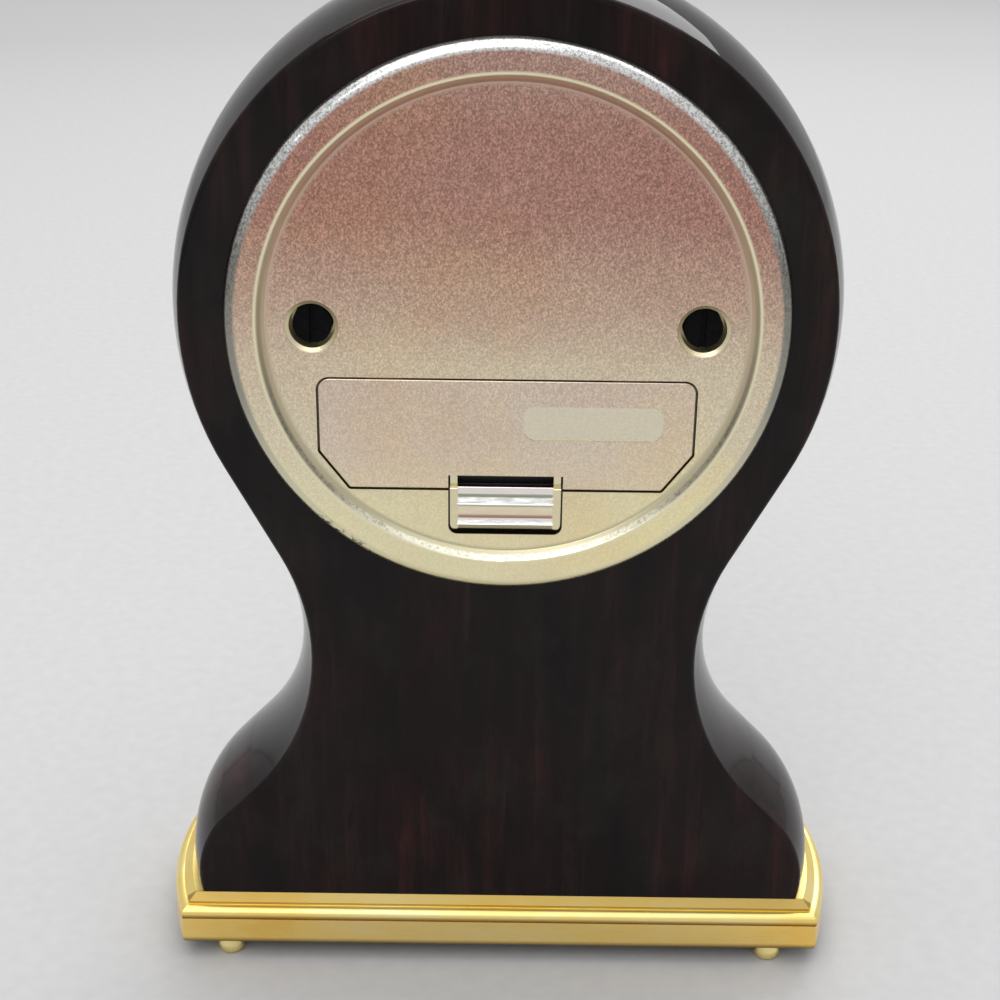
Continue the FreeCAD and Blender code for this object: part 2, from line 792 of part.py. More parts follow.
def hour_markers():
    """Applied batons with a roof-shaped top; the one over the date window is left out."""
    baton = Part.Face(rounded_wire([(-marker_width / 2, 0), (marker_width / 2, 0),
                                    (marker_width / 2, marker_thick / 2), (0, marker_thick),
                                    (-marker_width / 2, marker_thick / 2)]))
    baton.rotate(Vector(0, 0, 0), Vector(1, 0, 0), 90)
    baton.translate(Vector(0, marker_outer, dial_front))
    baton = baton.extrude(Vector(0, -marker_length, 0))
    batons = []
    for hour in range(marker_count):
        if hour == marker_count / 2:
            continue
        copy = baton.copy()
        copy.rotate(Vector(0, 0, 0), Vector(0, 0, 1), -clock_angle(hour))
        batons.append(copy)
    return solids(*batons)


def date_frame():
    outer = window(window_frame, dial_front, dial_front + window_frame_thick)
    return outer.cut(window(0, dial_front - 1, dial_front + window_frame_thick + 1))


def centre_bush():
    """Turned collar pressed in the dial; the hour tube runs in it."""
    bore = hour_tube + running_fit
    return turned([(bore, dial_back), (bore, dial_front + bush_proud, 0.15),
                   (bush_radius, dial_front + bush_proud, 0.3), (bush_radius, dial_front),
                   (bush_radius - bush_flange - pressed_fit, dial_front),
                   (bush_radius - bush_flange - pressed_fit, dial_back)])


# ------------------------------------------------------------------------ hands
def hand(points, hub, bore, low):
    """Flat hand with a round hub, drawn pointing at twelve."""
    blade = slab(points, low, low + hand_thick)
    boss = rod(hub, low - hand_thick, low + hand_thick)
    return join(blade, boss).cut(rod(bore, low - hand_spacing, low + hand_spacing))


def point_to(shape, angle):
    turned_hand = shape.copy()
    turned_hand.rotate(Vector(0, 0, 0), Vector(0, 0, 1), -angle)
    return turned_hand


def leaf(length, neck, belly):
    """Leaf-shaped outline: slim neck, widest at two thirds, then drawn to a point."""
    neck_y = neck_share * length
    belly_y = belly_share * length
    tip = hand_tip_half
    return [(-neck, 0), (-neck, neck_y, 2.0), (-belly, belly_y, 4.0), (-tip, length, tip / 2),
            (tip, length, tip / 2), (belly, belly_y, 4.0), (neck, neck_y, 2.0), (neck, 0)]


def hour_hand():
    shape = hand(leaf(hour_length, hour_neck_half, hour_belly_half), hour_tube + hub_wall,
                 hour_tube + pressed_fit, hour_hand_back)
    return point_to(shape, hour_angle)


def minute_hand():
    shape = hand(leaf(minute_length, minute_neck_half, minute_belly_half), minute_tube + hub_wall,
                 minute_tube + pressed_fit, minute_hand_back)
    return point_to(shape, minute_angle)


def second_hand():
    tail = second_tail_half
    shape = hand([(-tail, -second_tail, 0.5), (tail, -second_tail, 0.5), (second_waist_half, 0),
                  (hand_tip_half, second_length), (-hand_tip_half, second_length),
                  (-second_waist_half, 0)],
                 second_arbor + hub_wall, second_arbor + pressed_fit, second_hand_back)
    return point_to(shape, second_angle)


# ------------------------------------------------------------------------ hand-setting and motion work
setting_phase = 0.0
idler_phase = meshing_phase(setting_idler_teeth, setting_wheel_teeth, setting_phase, 180.0)
knob_phase = meshing_phase(setting_knob_teeth, setting_idler_teeth, idler_phase, 180.0)
motion_phase = meshing_phase(motion_wheel_teeth, minute_pinion_teeth, 90.0, 90.0)
hour_phase = meshing_phase(hour_wheel_teeth, motion_pinion_teeth, 0.0, 270.0)


def minute_arbor():
    """Tube of the minute hand with the setting wheel, the minute pinion and the clutch flange."""
    flange = centre_wheel_back - train_gap
    low = flange - train_gap
    top = minute_hand_back + hand_thick + tube_end
    body = rod(minute_tube, low, top)
    wheel = gear(setting_wheel_teeth, setting_module, setting_back, setting_phase)
    pinion = gear(minute_pinion_teeth, motion_module, motion_back, 90.0)
    boss = rod(minute_tube + boss_wall, setting_back - boss_rise, setting_back + wheel_thick + boss_rise)
    seat = rod(minute_tube + boss_wall, low, flange)
    return join(body, wheel, boss, pinion, seat).cut(rod(second_arbor + running_fit, low - 1, top + 1))


def hour_wheel():
    top = hour_hand_back + hand_thick + tube_end
    body = rod(hour_tube, hour_wheel_back, top)
    wheel = gear(hour_wheel_teeth, motion_module, hour_wheel_back, hour_phase)
    return join(body, wheel).cut(rod(minute_tube + running_fit, hour_wheel_back - 1, top + 1))


def motion_wheel():
    low = motion_back
    wheel = gear(motion_wheel_teeth, motion_module, low, motion_phase, 0, motion_centre)
    pinion = gear(motion_pinion_teeth, motion_module, low, 0.0, 0, motion_centre,
                  thick=hour_wheel_back + wheel_thick - low)
    return join(wheel, pinion).cut(rod(pin_radius + running_fit, low - 1,
                                       hour_wheel_back + wheel_thick + 1, 0, motion_centre))


def setting_idler():
    low = setting_back
    wheel = gear(setting_idler_teeth, setting_module, low, idler_phase, idler_x, 0)
    top = low + wheel_thick + boss_rise
    boss = rod(stud_radius + boss_wall, low - boss_rise, top, idler_x)
    return join(wheel, boss).cut(rod(stud_radius + running_fit, low - boss_rise - 1, top + 1, idler_x))


def time_pinion():
    """Shaft from the left setting knob with the pinion that turns the idler."""
    x = -setting_offset
    shaft = rod(setting_shaft, knob_back + knob_socket, plate_front - end_play, x)
    pinion = gear(setting_knob_teeth, setting_module, setting_back, knob_phase, x, 0)
    shoulder = rod(setting_shaft + shoulder_wall, setting_back + wheel_thick, plate_back - end_play, x)
    return join(shaft, pinion, shoulder)


def knob(x):
    """Recessed knob with a screwdriver slot, pressed on its shaft from outside."""
    top = knob_back + knob_height
    cap = rod(knob_radius, knob_back, top, x)
    cap = cap.cut(block(x - knob_slot / 2, x + knob_slot / 2, -knob_radius, knob_radius,
                        knob_back - 1, knob_back + knob_slot_depth))
    return cap.cut(rod(setting_shaft + pressed_fit, knob_back + knob_socket, top + 1, x))


# ------------------------------------------------------------------------ date work
def date_ring():
    disc = tube(date_ring_outer, date_ring_inner, ring_back, ring_front)
    rim = rod(date_ring_outer, rim_back, ring_back)
    teeth = tooth_outline(date_teeth, date_module, 0.0, inward=True)
    teeth.translate(Vector(0, 0, rim_back - 1))
    return join(disc, rim.cut(teeth.extrude(Vector(0, 0, date_rim + 1))))


def date_pinion():
    x = setting_offset
    low = plate_front + end_play
    shaft = rod(setting_shaft, knob_back + knob_socket, low, x)
    pinion = gear(date_pinion_teeth, date_module, low, 180.0 / date_pinion_teeth, x, 0,
                  thick=ring_back - end_play - low)
    top = plate_back - end_play
    shoulder = rod(setting_shaft + shoulder_wall, top - shoulder_thick, top, x)
    return join(shaft, pinion, shoulder)


def calendar_plate():
    """Moulded plate that carries the date ring, the dial, the setting studs and the screw posts."""
    plate = rod(inner_radius, plate_back, plate_front)
    rim = tube(inner_radius, calendar_rim_inner, plate_back, dial_back)
    hub = tube(calendar_hub_outer, calendar_hub_outer - calendar_hub, plate_back, dial_back)
    stud = rod(stud_radius, setting_back - boss_rise - end_play, plate_back, idler_x)
    motion_stud = rod(pin_radius, plate_front, hour_wheel_back + wheel_thick, 0, motion_centre)
    posts = [rod(post_radius, lug_inside, plate_back, side * cover_screw_x, cover_screw_y)
             for side in (-1, 1)]
    plate = join(plate, rim, hub, stud, motion_stud, *posts)
    plate = plate.cut(rod(minute_tube + running_fit, plate_back - 1, plate_front + 1))
    for side in (-1, 1):
        plate = plate.cut(rod(setting_shaft + running_fit, plate_back - 1, plate_front + 1,
                              side * setting_offset))
        plate = plate.cut(rod(cover_screw_radius, lug_inside - 1, lug_inside + cover_screw_grip,
                              side * cover_screw_x, cover_screw_y))
    return plate


# ------------------------------------------------------------------------ quartz movement
def movement_outline(inset):
    return rectangle(movement_half_x - inset, movement_half_y - inset, movement_corner - inset / 2)


def movement_base():
    """Moulded tray: a gear room above, and a bay for one AA cell below, both open to the back."""
    body = slab(movement_outline(0), movement_back, movement_front)
    inner_x = movement_half_x - movement_wall
    top_y = movement_half_y - movement_wall
    corner = movement_corner - movement_wall
    room = slab([(-inner_x, bay_wall_y + movement_wall), (inner_x, bay_wall_y + movement_wall),
                 (inner_x, top_y, corner), (-inner_x, top_y, corner)], movement_back - 1, tray_inside)
    bay = slab([(-bay_half, -top_y, corner), (bay_half, -top_y, corner),
                (bay_half, bay_wall_y), (-bay_half, bay_wall_y)], movement_back - 1, bay_top)
    body = body.cut(room).cut(bay)
    body = body.cut(rod(minute_tube + running_fit, tray_inside - 1, movement_front + 1))
    for x, y in pivot_places:
        body = body.cut(rod(pin_radius + running_fit, tray_inside - 1,
                            tray_inside + pivot_depth + pivot_room, x, y))
    for x, y in pillar_places:
        body = body.cut(rod(movement_screw_radius, tray_inside - 1, movement_front + 1, x, y))
    return body


def movement_lid():
    x = movement_half_x - movement_wall - lid_gap
    low_y = bay_wall_y + movement_wall + lid_gap
    top_y = movement_half_y - movement_wall - lid_gap
    corner = movement_corner - movement_wall
    lid = slab([(-x, low_y), (x, low_y), (x, top_y, corner), (-x, top_y, corner)],
               movement_back, lid_inside)
    pivot_low = lid_inside - pivot_depth - pivot_room
    lid = lid.cut(rod(second_arbor + running_fit, pivot_low, lid_inside + 1))
    for x, y in pivot_places:
        lid = lid.cut(rod(pin_radius + running_fit, pivot_low, lid_inside + 1, x, y))
    return lid


def pillars():
    return solids(*[tube(pillar_radius, movement_screw_radius, movement_front, plate_back, x, y)
                    for x, y in pillar_places])


def movement_screws():
    """Screws from the gear room through the tray into the pillars."""
    screws = []
    for x, y in pillar_places:
        shank = rod(movement_screw_radius, tray_inside, plate_back - screw_tip_gap, x, y)
        head = rod(movement_screw_head, tray_inside - movement_screw_head_height, tray_inside, x, y)
        screws.append(shank.fuse(head))
    return solids(*screws)


second_phase = 0.0
fifth_pinion_phase = meshing_phase(fifth_pinion_teeth, second_wheel_teeth, second_phase, train_angle)
rotor_phase = meshing_phase(rotor_teeth, fifth_wheel_teeth, train_angle, train_angle)
third_phase = meshing_phase(third_wheel_teeth, second_pinion_teeth, 0.0, 0.0)
centre_phase = meshing_phase(centre_wheel_teeth, third_pinion_teeth, 180.0, 180.0)


def second_wheel():
    """Second arbor, from its pivot in the lid through the minute tube, with wheel and pinion."""
    arbor = rod(second_arbor, lid_inside - pivot_depth, second_hand_back + hand_thick)
    wheel = gear(second_wheel_teeth, train_module, second_wheel_back, second_phase)
    pinion = gear(second_pinion_teeth, train_module, second_wheel_back + wheel_thick, 0.0,
                  thick=2 * wheel_thick)
    return join(arbor, wheel, pinion)


def pivoted(x, y):
    """Arbor with a pivot in the lid and one in the tray."""
    return rod(pin_radius, lid_inside - pivot_depth, tray_inside + pivot_depth, x, y)


def third_wheel():
    wheel = gear(third_wheel_teeth, train_module, third_wheel_back, third_phase, third_centre)
    pinion = gear(third_pinion_teeth, centre_module, third_wheel_back + wheel_thick, 180.0,
                  third_centre, thick=3 * wheel_thick)
    return join(pivoted(third_centre, 0), wheel, pinion)


def centre_wheel():
    """Wheel that turns once an hour and drives the minute tube through friction on its flange."""
    wheel = gear(centre_wheel_teeth, centre_module, centre_wheel_back, centre_phase)
    boss = rod(minute_tube + boss_wall, centre_wheel_back - train_gap,
               centre_wheel_back + 2 * wheel_thick)
    return join(wheel, boss).cut(rod(minute_tube + running_fit, centre_wheel_back - 1,
                                     centre_wheel_back + 3 * wheel_thick))


def fifth_wheel():
    wheel = gear(fifth_wheel_teeth, train_module, fifth_wheel_back, train_angle, fifth_x, fifth_y)
    pinion = gear(fifth_pinion_teeth, train_module, fifth_wheel_back + wheel_thick,
                  fifth_pinion_phase, fifth_x, fifth_y, thick=2 * wheel_thick)
    return join(pivoted(fifth_x, fifth_y), wheel, pinion)


def rotor():
    magnet = rod(rotor_radius, rotor_magnet_back, rotor_magnet_back + rotor_height, rotor_x, rotor_y)
    pinion = gear(rotor_teeth, train_module, fifth_wheel_back - rotor_overlap, rotor_phase,
                  rotor_x, rotor_y, thick=wheel_thick + 2 * rotor_overlap)
    return join(pivoted(rotor_x, rotor_y), magnet, pinion)


def stator():
    """Soft-iron sheet round the rotor, with two cranked arms that reach the ends of the coil's core."""
    low = rotor_middle - stator_thick / 2
    crank_x = rotor_x - stator_width - stator_arm
    sheet = slab(rectangle(stator_width / 2, stator_width / 2, core_radius, rotor_x, rotor_y),
                 low, low + stator_thick)
    for side in (-1, 1):
        near = side * (stator_width - stator_arm) / 2
        far = side * coil_half
        run = block(crank_x, rotor_x, rotor_y + near - stator_arm / 2, rotor_y + near + stator_arm / 2,
                    low, low + stator_thick)
        crank = block(crank_x, crank_x + stator_arm, rotor_y + min(near, far) - stator_arm / 2,
                      rotor_y + max(near, far) + stator_arm / 2, low, low + stator_thick)
        arm = block(coil_x - core_radius, crank_x + stator_arm, rotor_y + far - stator_arm / 2,
                    rotor_y + far + stator_arm / 2, low, low + stator_thick)
        sheet = join(sheet, run, crank, arm)
    return sheet.cut(rod(rotor_radius + stator_gap, low - 1, low + 2, rotor_x, rotor_y))


def upright(radius, half):
    """Round bar along the coil's axis, reaching half of its length to each side of the middle."""
    start = Vector(coil_x, rotor_y - half, coil_w)
    return Part.makeCylinder(radius, 2 * half, start, Vector(0, 1, 0))


def coil_bobbin():
    """Moulded former with the iron core through it, upright beside the train."""
    flanges = upright(coil_radius + coil_flange, coil_half)
    flanges = flanges.cut(upright(coil_radius + 2 * coil_flange, coil_half - coil_cheek))
    return join(upright(core_radius, coil_half + core_radius), flanges)


def coil():
    half = coil_half - coil_cheek
    return upright(coil_radius, half).cut(upright(core_radius, half))


def board_place():
    """Middle of the board, on the tray's inside, to the right of the train."""
    x = movement_half_x - movement_wall - board_inset - board_half
    return Vector(x, 0, tray_inside - board_thick)


def circuit_board():
    place = board_place()
    return slab(rectangle(board_half, board_half, board_corner, place.x, place.y),
                place.z, place.z + board_thick)


def quartz_crystal():
    place = board_place()
    start = place - Vector(board_half / 3, crystal_length / 2, crystal_radius)
    return Part.makeCylinder(crystal_radius, crystal_length, start, Vector(0, 1, 0))


def battery():
    start = Vector(-battery_length / 2 - battery_nub / 2, battery_y, battery_w)
    can = Part.makeCylinder(battery_radius, battery_length, start, Vector(1, 0, 0))
    nub = Part.makeCylinder(battery_nub_radius, battery_nub, start + Vector(battery_length, 0, 0),
                            Vector(1, 0, 0))
    return join(can, nub)


def battery_plus_contact():
    """Spring-brass strip against the cell's nub."""
    face = battery_length / 2 + battery_nub / 2
    return block(face, face + contact_thick, battery_y - contact_half, battery_y + contact_half,
                 battery_w - contact_half, bay_top)


def battery_minus_contact():
    """Bowed leaf that presses on the cell's flat end."""
    face = -battery_length / 2 - battery_nub / 2
    root = contact_thick - bay_rim - bay_half
    low = battery_w - leaf_half
    high = battery_w + leaf_half
    strip = Part.Face(rounded_wire([(-bay_half, low), (root, low), (face, battery_w), (root, high),
                                    (-bay_half, high), (face - contact_thick, battery_w)]))
    strip.rotate(Vector(0, 0, 0), Vector(1, 0, 0), 90)
    strip.translate(Vector(0, battery_y + leaf_width / 2, 0))
    return strip.extrude(Vector(0, -leaf_width, 0))


# ------------------------------------------------------------------------ rear cover
def door_outline():
    corner = door_bottom + door_bevel_y
    foot = door_half - door_bevel_x
    return [(-door_half, door_top, door_corner), (-door_half, corner, door_blunt),
            (-foot, door_bottom, door_blunt), (foot, door_bottom, door_blunt),
            (door_half, corner, door_blunt), (door_half, door_top, door_corner)]


def door_slab(grow, low, high):
    """The door's outline grown by an even margin, negative to shrink."""
    outline = rounded_wire(door_outline())
    if grow:
        outline = outline.makeOffset2D(grow)
    face = Part.Face(outline)
    face.translate(Vector(0, 0, low))
    return face.extrude(Vector(0, 0, high - low))


def side_block(side, near, far, low_y, high_y, low, high):
    """Block between two distances from the middle, on the side given by +1 or -1."""
    return block(min(side * near, side * far), max(side * near, side * far), low_y, high_y, low, high)


def pocket(grow, low, high):
    half = latch_half + latch_play + grow
    top = door_bottom - ledge_width + grow
    bottom = pocket_bottom - grow
    return slab([(-half, top), (-half, bottom, pocket_corner), (half, bottom, pocket_corner), (half, top)],
                low, high)


def cover_shell():
    """Turned skin: spigot in the bore, raised rim with a rounded edge, and sunk floor."""
    spigot_outer = bore_radius - can_clear
    spigot_inner = spigot_outer - spigot_wall
    return turned([(0, floor_inside), (0, floor_face), (floor_radius, floor_face, 0.3),
                   (land_inner_radius, land_face, 0.4),
                   (cover_radius - cover_edge / 3, land_face, cover_edge),
                   (cover_radius, back - cover_lip, 0.3), (cover_radius, back), (spigot_outer, back),
                   (spigot_outer, back + spigot_depth), (spigot_inner, back + spigot_depth),
                   (spigot_inner, floor_inside)])


def cut_door_opening(body):
    """Ledge round the opening, with notches above it for the door's tabs."""
    body = join(body, door_slab(ledge_width, floor_inside, floor_inside + ledge_thick))
    body = body.cut(door_slab(0, floor_face - 1, floor_inside + tongue_play))
    body = body.cut(door_slab(-ledge_width, floor_inside - 1, floor_inside + ledge_thick + 1))
    half = tab_width / 2 + tab_play
    for x in (-tab_spread, tab_spread):
        body = body.cut(block(x - half, x + half, door_top - tab_root, door_top + tab_reach + tab_root,
                              floor_inside, floor_inside + ledge_thick + 1))
    return body


def add_latch_pocket(body):
    deep = floor_face + pocket_depth
    wide = latch_half + latch_play
    body = join(body, pocket(pocket_wall, floor_inside - head_clear, deep + pocket_wall))
    body = body.cut(pocket(0, floor_face - 1, deep))
    notch_low = door_bottom - ledge_width - pocket_wall
    return body.cut(block(-wide, wide, notch_low, notch_top, floor_face - 1, deep))


def add_lug(body, side):
    """Bridge inside the door's opening with the hole for a cover screw."""
    x = side * cover_screw_x
    riser = cover_screw_x + cover_screw_head + head_clear + lug_wall
    low_y = cover_screw_y - lug_half
    high_y = cover_screw_y + lug_half
    lug = side_block(side, cover_screw_x - cover_screw_head, riser + riser_width, low_y, high_y,
                     lug_low, lug_inside)
    foot = side_block(side, riser, riser + riser_width, low_y, high_y, floor_inside - head_clear, lug_inside)
    body = join(body, lug, foot)
    body = body.cut(rod(cover_screw_radius + tongue_play, floor_inside, lug_inside + 1, x, cover_screw_y))
    return body.cut(rod(cover_screw_head + head_clear, floor_inside - tongue_play, lug_low,
                        x, cover_screw_y))


def add_setting_hole(body, side):
    x = side * setting_offset
    collar_end = floor_inside + collar_depth
    body = join(body, rod(setting_bore + collar_wall, floor_inside - head_clear, collar_end, x))
    body = body.cut(rod(setting_bore, floor_face - 1, collar_end - collar_web, x))
    body = body.cut(rod(setting_shaft + running_fit, floor_face, collar_end + 1, x))
    return body.cut(Part.makeCone(setting_bore + setting_chamfer, setting_bore, setting_chamfer,
                                  Vector(x, 0, floor_face)))


def rear_cover():
    body = add_latch_pocket(cut_door_opening(cover_shell()))
    for side in (-1, 1):
        body = add_setting_hole(add_lug(body, side), side)
    return body


def cover_screws():
    screws = []
    for x in (-cover_screw_x, cover_screw_x):
        top = lug_low - cover_screw_head_height
        head = rod(cover_screw_head, top, lug_low, x, cover_screw_y)
        head = head.cut(block(x - screw_slot / 2, x + screw_slot / 2, cover_screw_y - cover_screw_head,
                              cover_screw_y + cover_screw_head, top, top + screw_slot_depth))
        tip = lug_inside + cover_screw_grip - cover_screw_play
        screws.append(join(head, rod(cover_screw_radius, lug_low, tip, x, cover_screw_y)))
    return solids(*screws)


# ------------------------------------------------------------------------ battery door and latch
def battery_door():
    """Door with hook tabs on top, guide rails for the latch and a sunk lozenge outside."""
    body = door_slab(-door_gap, floor_face, floor_inside)
    rim = [edge for edge in body.Edges if edge.BoundBox.ZMax < floor_face + running_fit]
    body = body.makeFillet(door_round, rim)
    wide = latch_half + latch_play
    body = body.cut(block(-wide, wide, door_bottom - 1, notch_top, floor_face - 1, floor_inside + 1))
    ribs = []
    for x in (-tab_spread, tab_spread):
        low_x = x - tab_width / 2
        high_x = x + tab_width / 2
        ribs.append(block(low_x, high_x, door_top - 2 * tab_root, door_top - door_gap,
                          floor_inside - tongue_play, floor_inside + tab_thick))
        ribs.append(block(low_x, high_x, door_top - tab_root, door_top + tab_reach,
                          floor_inside + tongue_play, floor_inside + tab_thick))
    low = floor_inside - tongue_play
    high = floor_inside + tongue_thick + 2 * tongue_play
    near = latch_half + tongue_play
    for side in (-1, 1):
        ribs.append(side_block(side, near, near + rail_width, notch_top + head_clear,
                               rail_top + rail_width, low, high))
    ribs.append(block(-near - rail_width, near + rail_width, rail_top, rail_top + rail_width, low, high))
    lozenge = slab(rectangle(lozenge_length / 2, lozenge_height / 2, lozenge_corner, lozenge_x,
                             door_top - lozenge_drop), floor_face - 1, floor_face + lozenge_depth)
    return join(body, *ribs).cut(lozenge)


def door_pads():
    """Foam pads glued inside the door, which keep the cell from rattling."""
    top = battery_w - battery_radius - pad_gap
    return solids(*[block(x - pad_length / 2, x + pad_length / 2, battery_y - pad_height / 2,
                          battery_y + pad_height / 2, floor_inside, top)
                    for x in (-pad_spread, pad_spread)])


def latch_prism(outline, low_x, high_x):
    """Outline of (y, w) points drawn out sideways."""
    face = Part.Face(rounded_wire(outline))
    turn = Rotation(Vector(0, 1, 0), Vector(0, 0, 1), Vector(1, 0, 0), "XYZ")
    face.Placement = Placement(Vector(low_x, 0, 0), turn)
    return face.extrude(Vector(high_x - low_x, 0, 0))


def door_latch():
    """Sprung catch: thumb ridge, band and nose between two cheeks, on a tongue bent into a frame."""
    inner = floor_face + latch_inner
    riser = floor_face + riser_depth
    crest = floor_face - crest_rise
    band = floor_face + band_depth
    cheek = floor_face + cheek_depth
    section = [(latch_top, inner), (latch_top, riser, crest_round), (latch_top - riser_fall, riser),
               (latch_top - crest_fall, crest, crest_round),
               (latch_top - crest_fall - crest_width, crest, crest_round),
               (latch_top - band_fall, band), (latch_top - band_foot_fall, band),
               (latch_top - band_foot_fall, riser), (latch_top - nose_slope_fall, riser),
               (latch_top - nose_fall, floor_face, nose_round),
               (latch_top - nose_fall - nose_width, floor_face, nose_round),
               (latch_bottom, riser, nose_round), (latch_bottom, inner)]
    side_outline = [(latch_top, inner), (latch_top, cheek, 0.4), (latch_bottom, cheek, 0.5),
                    (latch_bottom, inner)]
    near = latch_half - latch_arm
    low = floor_inside + tongue_play
    high = low + tongue_thick
    top = notch_top + tongue_reach
    pieces = [block(-latch_half, latch_half, top - tongue_bar, top, low, high)]
    for side in (-1, 1):
        pieces.append(latch_prism(side_outline, min(side * near, side * latch_half),
                                  max(side * near, side * latch_half)))
        pieces.append(side_block(side, near, latch_half, latch_top - riser_fall, top, low, high))
    corner = pocket_corner - latch_play
    plan = slab([(-latch_half, top + 1), (-latch_half, latch_bottom, corner),
                 (latch_half, latch_bottom, corner), (latch_half, top + 1)], crest - 1, high + 1)
    return join(latch_prism(section, -near, near), *pieces).common(plan)


def latch_spring():
    """Zigzag wire spring between the latch's tongue and the stop inside the door."""
    wire = latch_spring_wire
    low = notch_top + tongue_reach
    step = (latch_spring_length - wire) / latch_spring_turns
    half = latch_spring_half
    near = floor_inside + tongue_play
    far = near + 2 * wire
    wires = [block(-half, half, low + i * step, low + i * step + wire, near, far)
             for i in range(latch_spring_turns + 1)]
    for i in range(latch_spring_turns):
        side = 1 if i % 2 else -1
        wires.append(side_block(side, half - wire, half, low + i * step, low + (i + 1) * step + wire,
                                near, far))
    return join(*wires)


# ------------------------------------------------------------------------ write the pieces
write("case_body", case_body())
write("base_plate", base_plate(), table_frame)
write("base_feet", base_feet(), table_frame)
write("base_screws", base_screws(), table_frame)
write("bezel", bezel())
write("lens", lens())
write("lens_gasket", lens_gasket())
write("flange_ring", flange_ring())
write("dial", dial())
write("hour_markers", hour_markers())
write("date_frame", date_frame())
write("centre_bush", centre_bush())
write("hour_hand", hour_hand())
write("minute_hand", minute_hand())
write("second_hand", second_hand())
write("minute_arbor", minute_arbor())
write("hour_wheel", hour_wheel())
write("motion_wheel", motion_wheel())
write("setting_idler", setting_idler())
write("time_pinion", time_pinion())
write("time_knob", knob(-setting_offset))
write("date_ring", date_ring())
write("date_pinion", date_pinion())
write("date_knob", knob(setting_offset))
write("calendar_plate", calendar_plate())
write("movement_base", movement_base())
write("movement_lid", movement_lid())
write("pillars", pillars())
write("movement_screws", movement_screws())
write("second_wheel", second_wheel())
write("third_wheel", third_wheel())
write("centre_wheel", centre_wheel())
write("fifth_wheel", fifth_wheel())
write("rotor", rotor())
write("stator", stator())
write("coil_bobbin", coil_bobbin())
write("coil", coil())
write("circuit_board", circuit_board())
write("quartz_crystal", quartz_crystal())
write("battery", battery())
write("battery_plus_contact", battery_plus_contact())
write("battery_minus_contact", battery_minus_contact())
write("rear_cover", rear_cover())
write("cover_screws", cover_screws())
write("battery_door", battery_door())
write("door_pads", door_pads())
write("door_latch", door_latch())
write("latch_spring", latch_spring())
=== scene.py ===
import math

import bmesh
import bpy
from mathutils import Matrix, Vector


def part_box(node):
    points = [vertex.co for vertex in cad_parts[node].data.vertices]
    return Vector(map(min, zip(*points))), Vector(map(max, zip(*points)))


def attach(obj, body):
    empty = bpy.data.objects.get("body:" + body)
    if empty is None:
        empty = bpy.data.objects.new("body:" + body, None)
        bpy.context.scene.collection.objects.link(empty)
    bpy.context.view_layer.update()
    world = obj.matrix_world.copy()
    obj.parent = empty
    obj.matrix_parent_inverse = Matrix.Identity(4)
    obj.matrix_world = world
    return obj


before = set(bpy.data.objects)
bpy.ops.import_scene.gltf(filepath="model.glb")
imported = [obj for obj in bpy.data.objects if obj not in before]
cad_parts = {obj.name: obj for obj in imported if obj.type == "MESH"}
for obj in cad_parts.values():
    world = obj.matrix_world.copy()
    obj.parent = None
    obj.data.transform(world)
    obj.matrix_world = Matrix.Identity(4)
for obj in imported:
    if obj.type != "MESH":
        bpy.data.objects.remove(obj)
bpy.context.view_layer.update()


# ---------------------------------------------------------------- wooden case
# The keyhole case is one block of dark rosewood, bored through for the clock and rounded along
# its swelling sides. It is stained nearly black, sealed and built up in many coats of lacquer,
# so the grain only shows as faint upright streaks and red patches under a glassy surface.
millimetre = 0.001


def finish(name, roughness, metallic=0.0):
    """A material with its shader, ready for its own pattern."""
    material = bpy.data.materials.new(name)
    material.use_nodes = True
    shader = material.node_tree.nodes["Principled BSDF"]
    shader.inputs["Roughness"].default_value = roughness
    shader.inputs["Metallic"].default_value = metallic
    return material, shader


def node(material, kind, **settings):
    """A node of the material; each setting is one of its choices or one of its inputs."""
    made = material.node_tree.nodes.new(kind)
    for key, value in settings.items():
        if hasattr(made, key):
            setattr(made, key, value)
        else:
            made.inputs[key].default_value = value
    return made


def link(material, source, target):
    material.node_tree.links.new(source, target)


def place(material, scale=(1.0, 1.0, 1.0), centre=(0.0, 0.0, 0.0)):
    """Object coordinates from a centre, stretched by a scale along each axis."""
    coordinates = node(material, "ShaderNodeTexCoord")
    mapping = node(material, "ShaderNodeMapping", vector_type="POINT")
    mapping.inputs["Scale"].default_value = scale
    mapping.inputs["Location"].default_value = [-c * s for c, s in zip(centre, scale)]
    link(material, coordinates.outputs["Object"], mapping.inputs["Vector"])
    return mapping.outputs["Vector"]


def noise(material, fineness, detail=2.0, roughness=0.5, distortion=0.0, centre=(0.0, 0.0, 0.0)):
    """Clouds, speckle or grain: its fineness is one number, or one along each axis."""
    even = isinstance(fineness, float)
    made = node(material, "ShaderNodeTexNoise", Scale=fineness if even else 1.0, Detail=detail,
                Roughness=roughness, Distortion=distortion)
    where = place(material, (1.0, 1.0, 1.0) if even else fineness, centre)
    link(material, where, made.inputs["Vector"])
    return made.outputs["Fac"]


def ramp(material, factor, *stops):
    """Colours or greys placed along a factor; each stop is a position and a value."""
    made = node(material, "ShaderNodeValToRGB")
    elements = made.color_ramp.elements
    while len(elements) < len(stops):
        elements.new(1.0)
    for element, (position, value) in zip(elements, stops):
        element.position = position
        element.color = (*value, 1.0) if isinstance(value, tuple) else (value, value, value, 1.0)
    link(material, factor, made.inputs["Fac"])
    return made.outputs["Color"]


def rising(material, factor, start, full, most=1.0):
    """Nothing up to the start, and the most from where it is full."""
    return ramp(material, factor, (start, 0.0), (full, most))


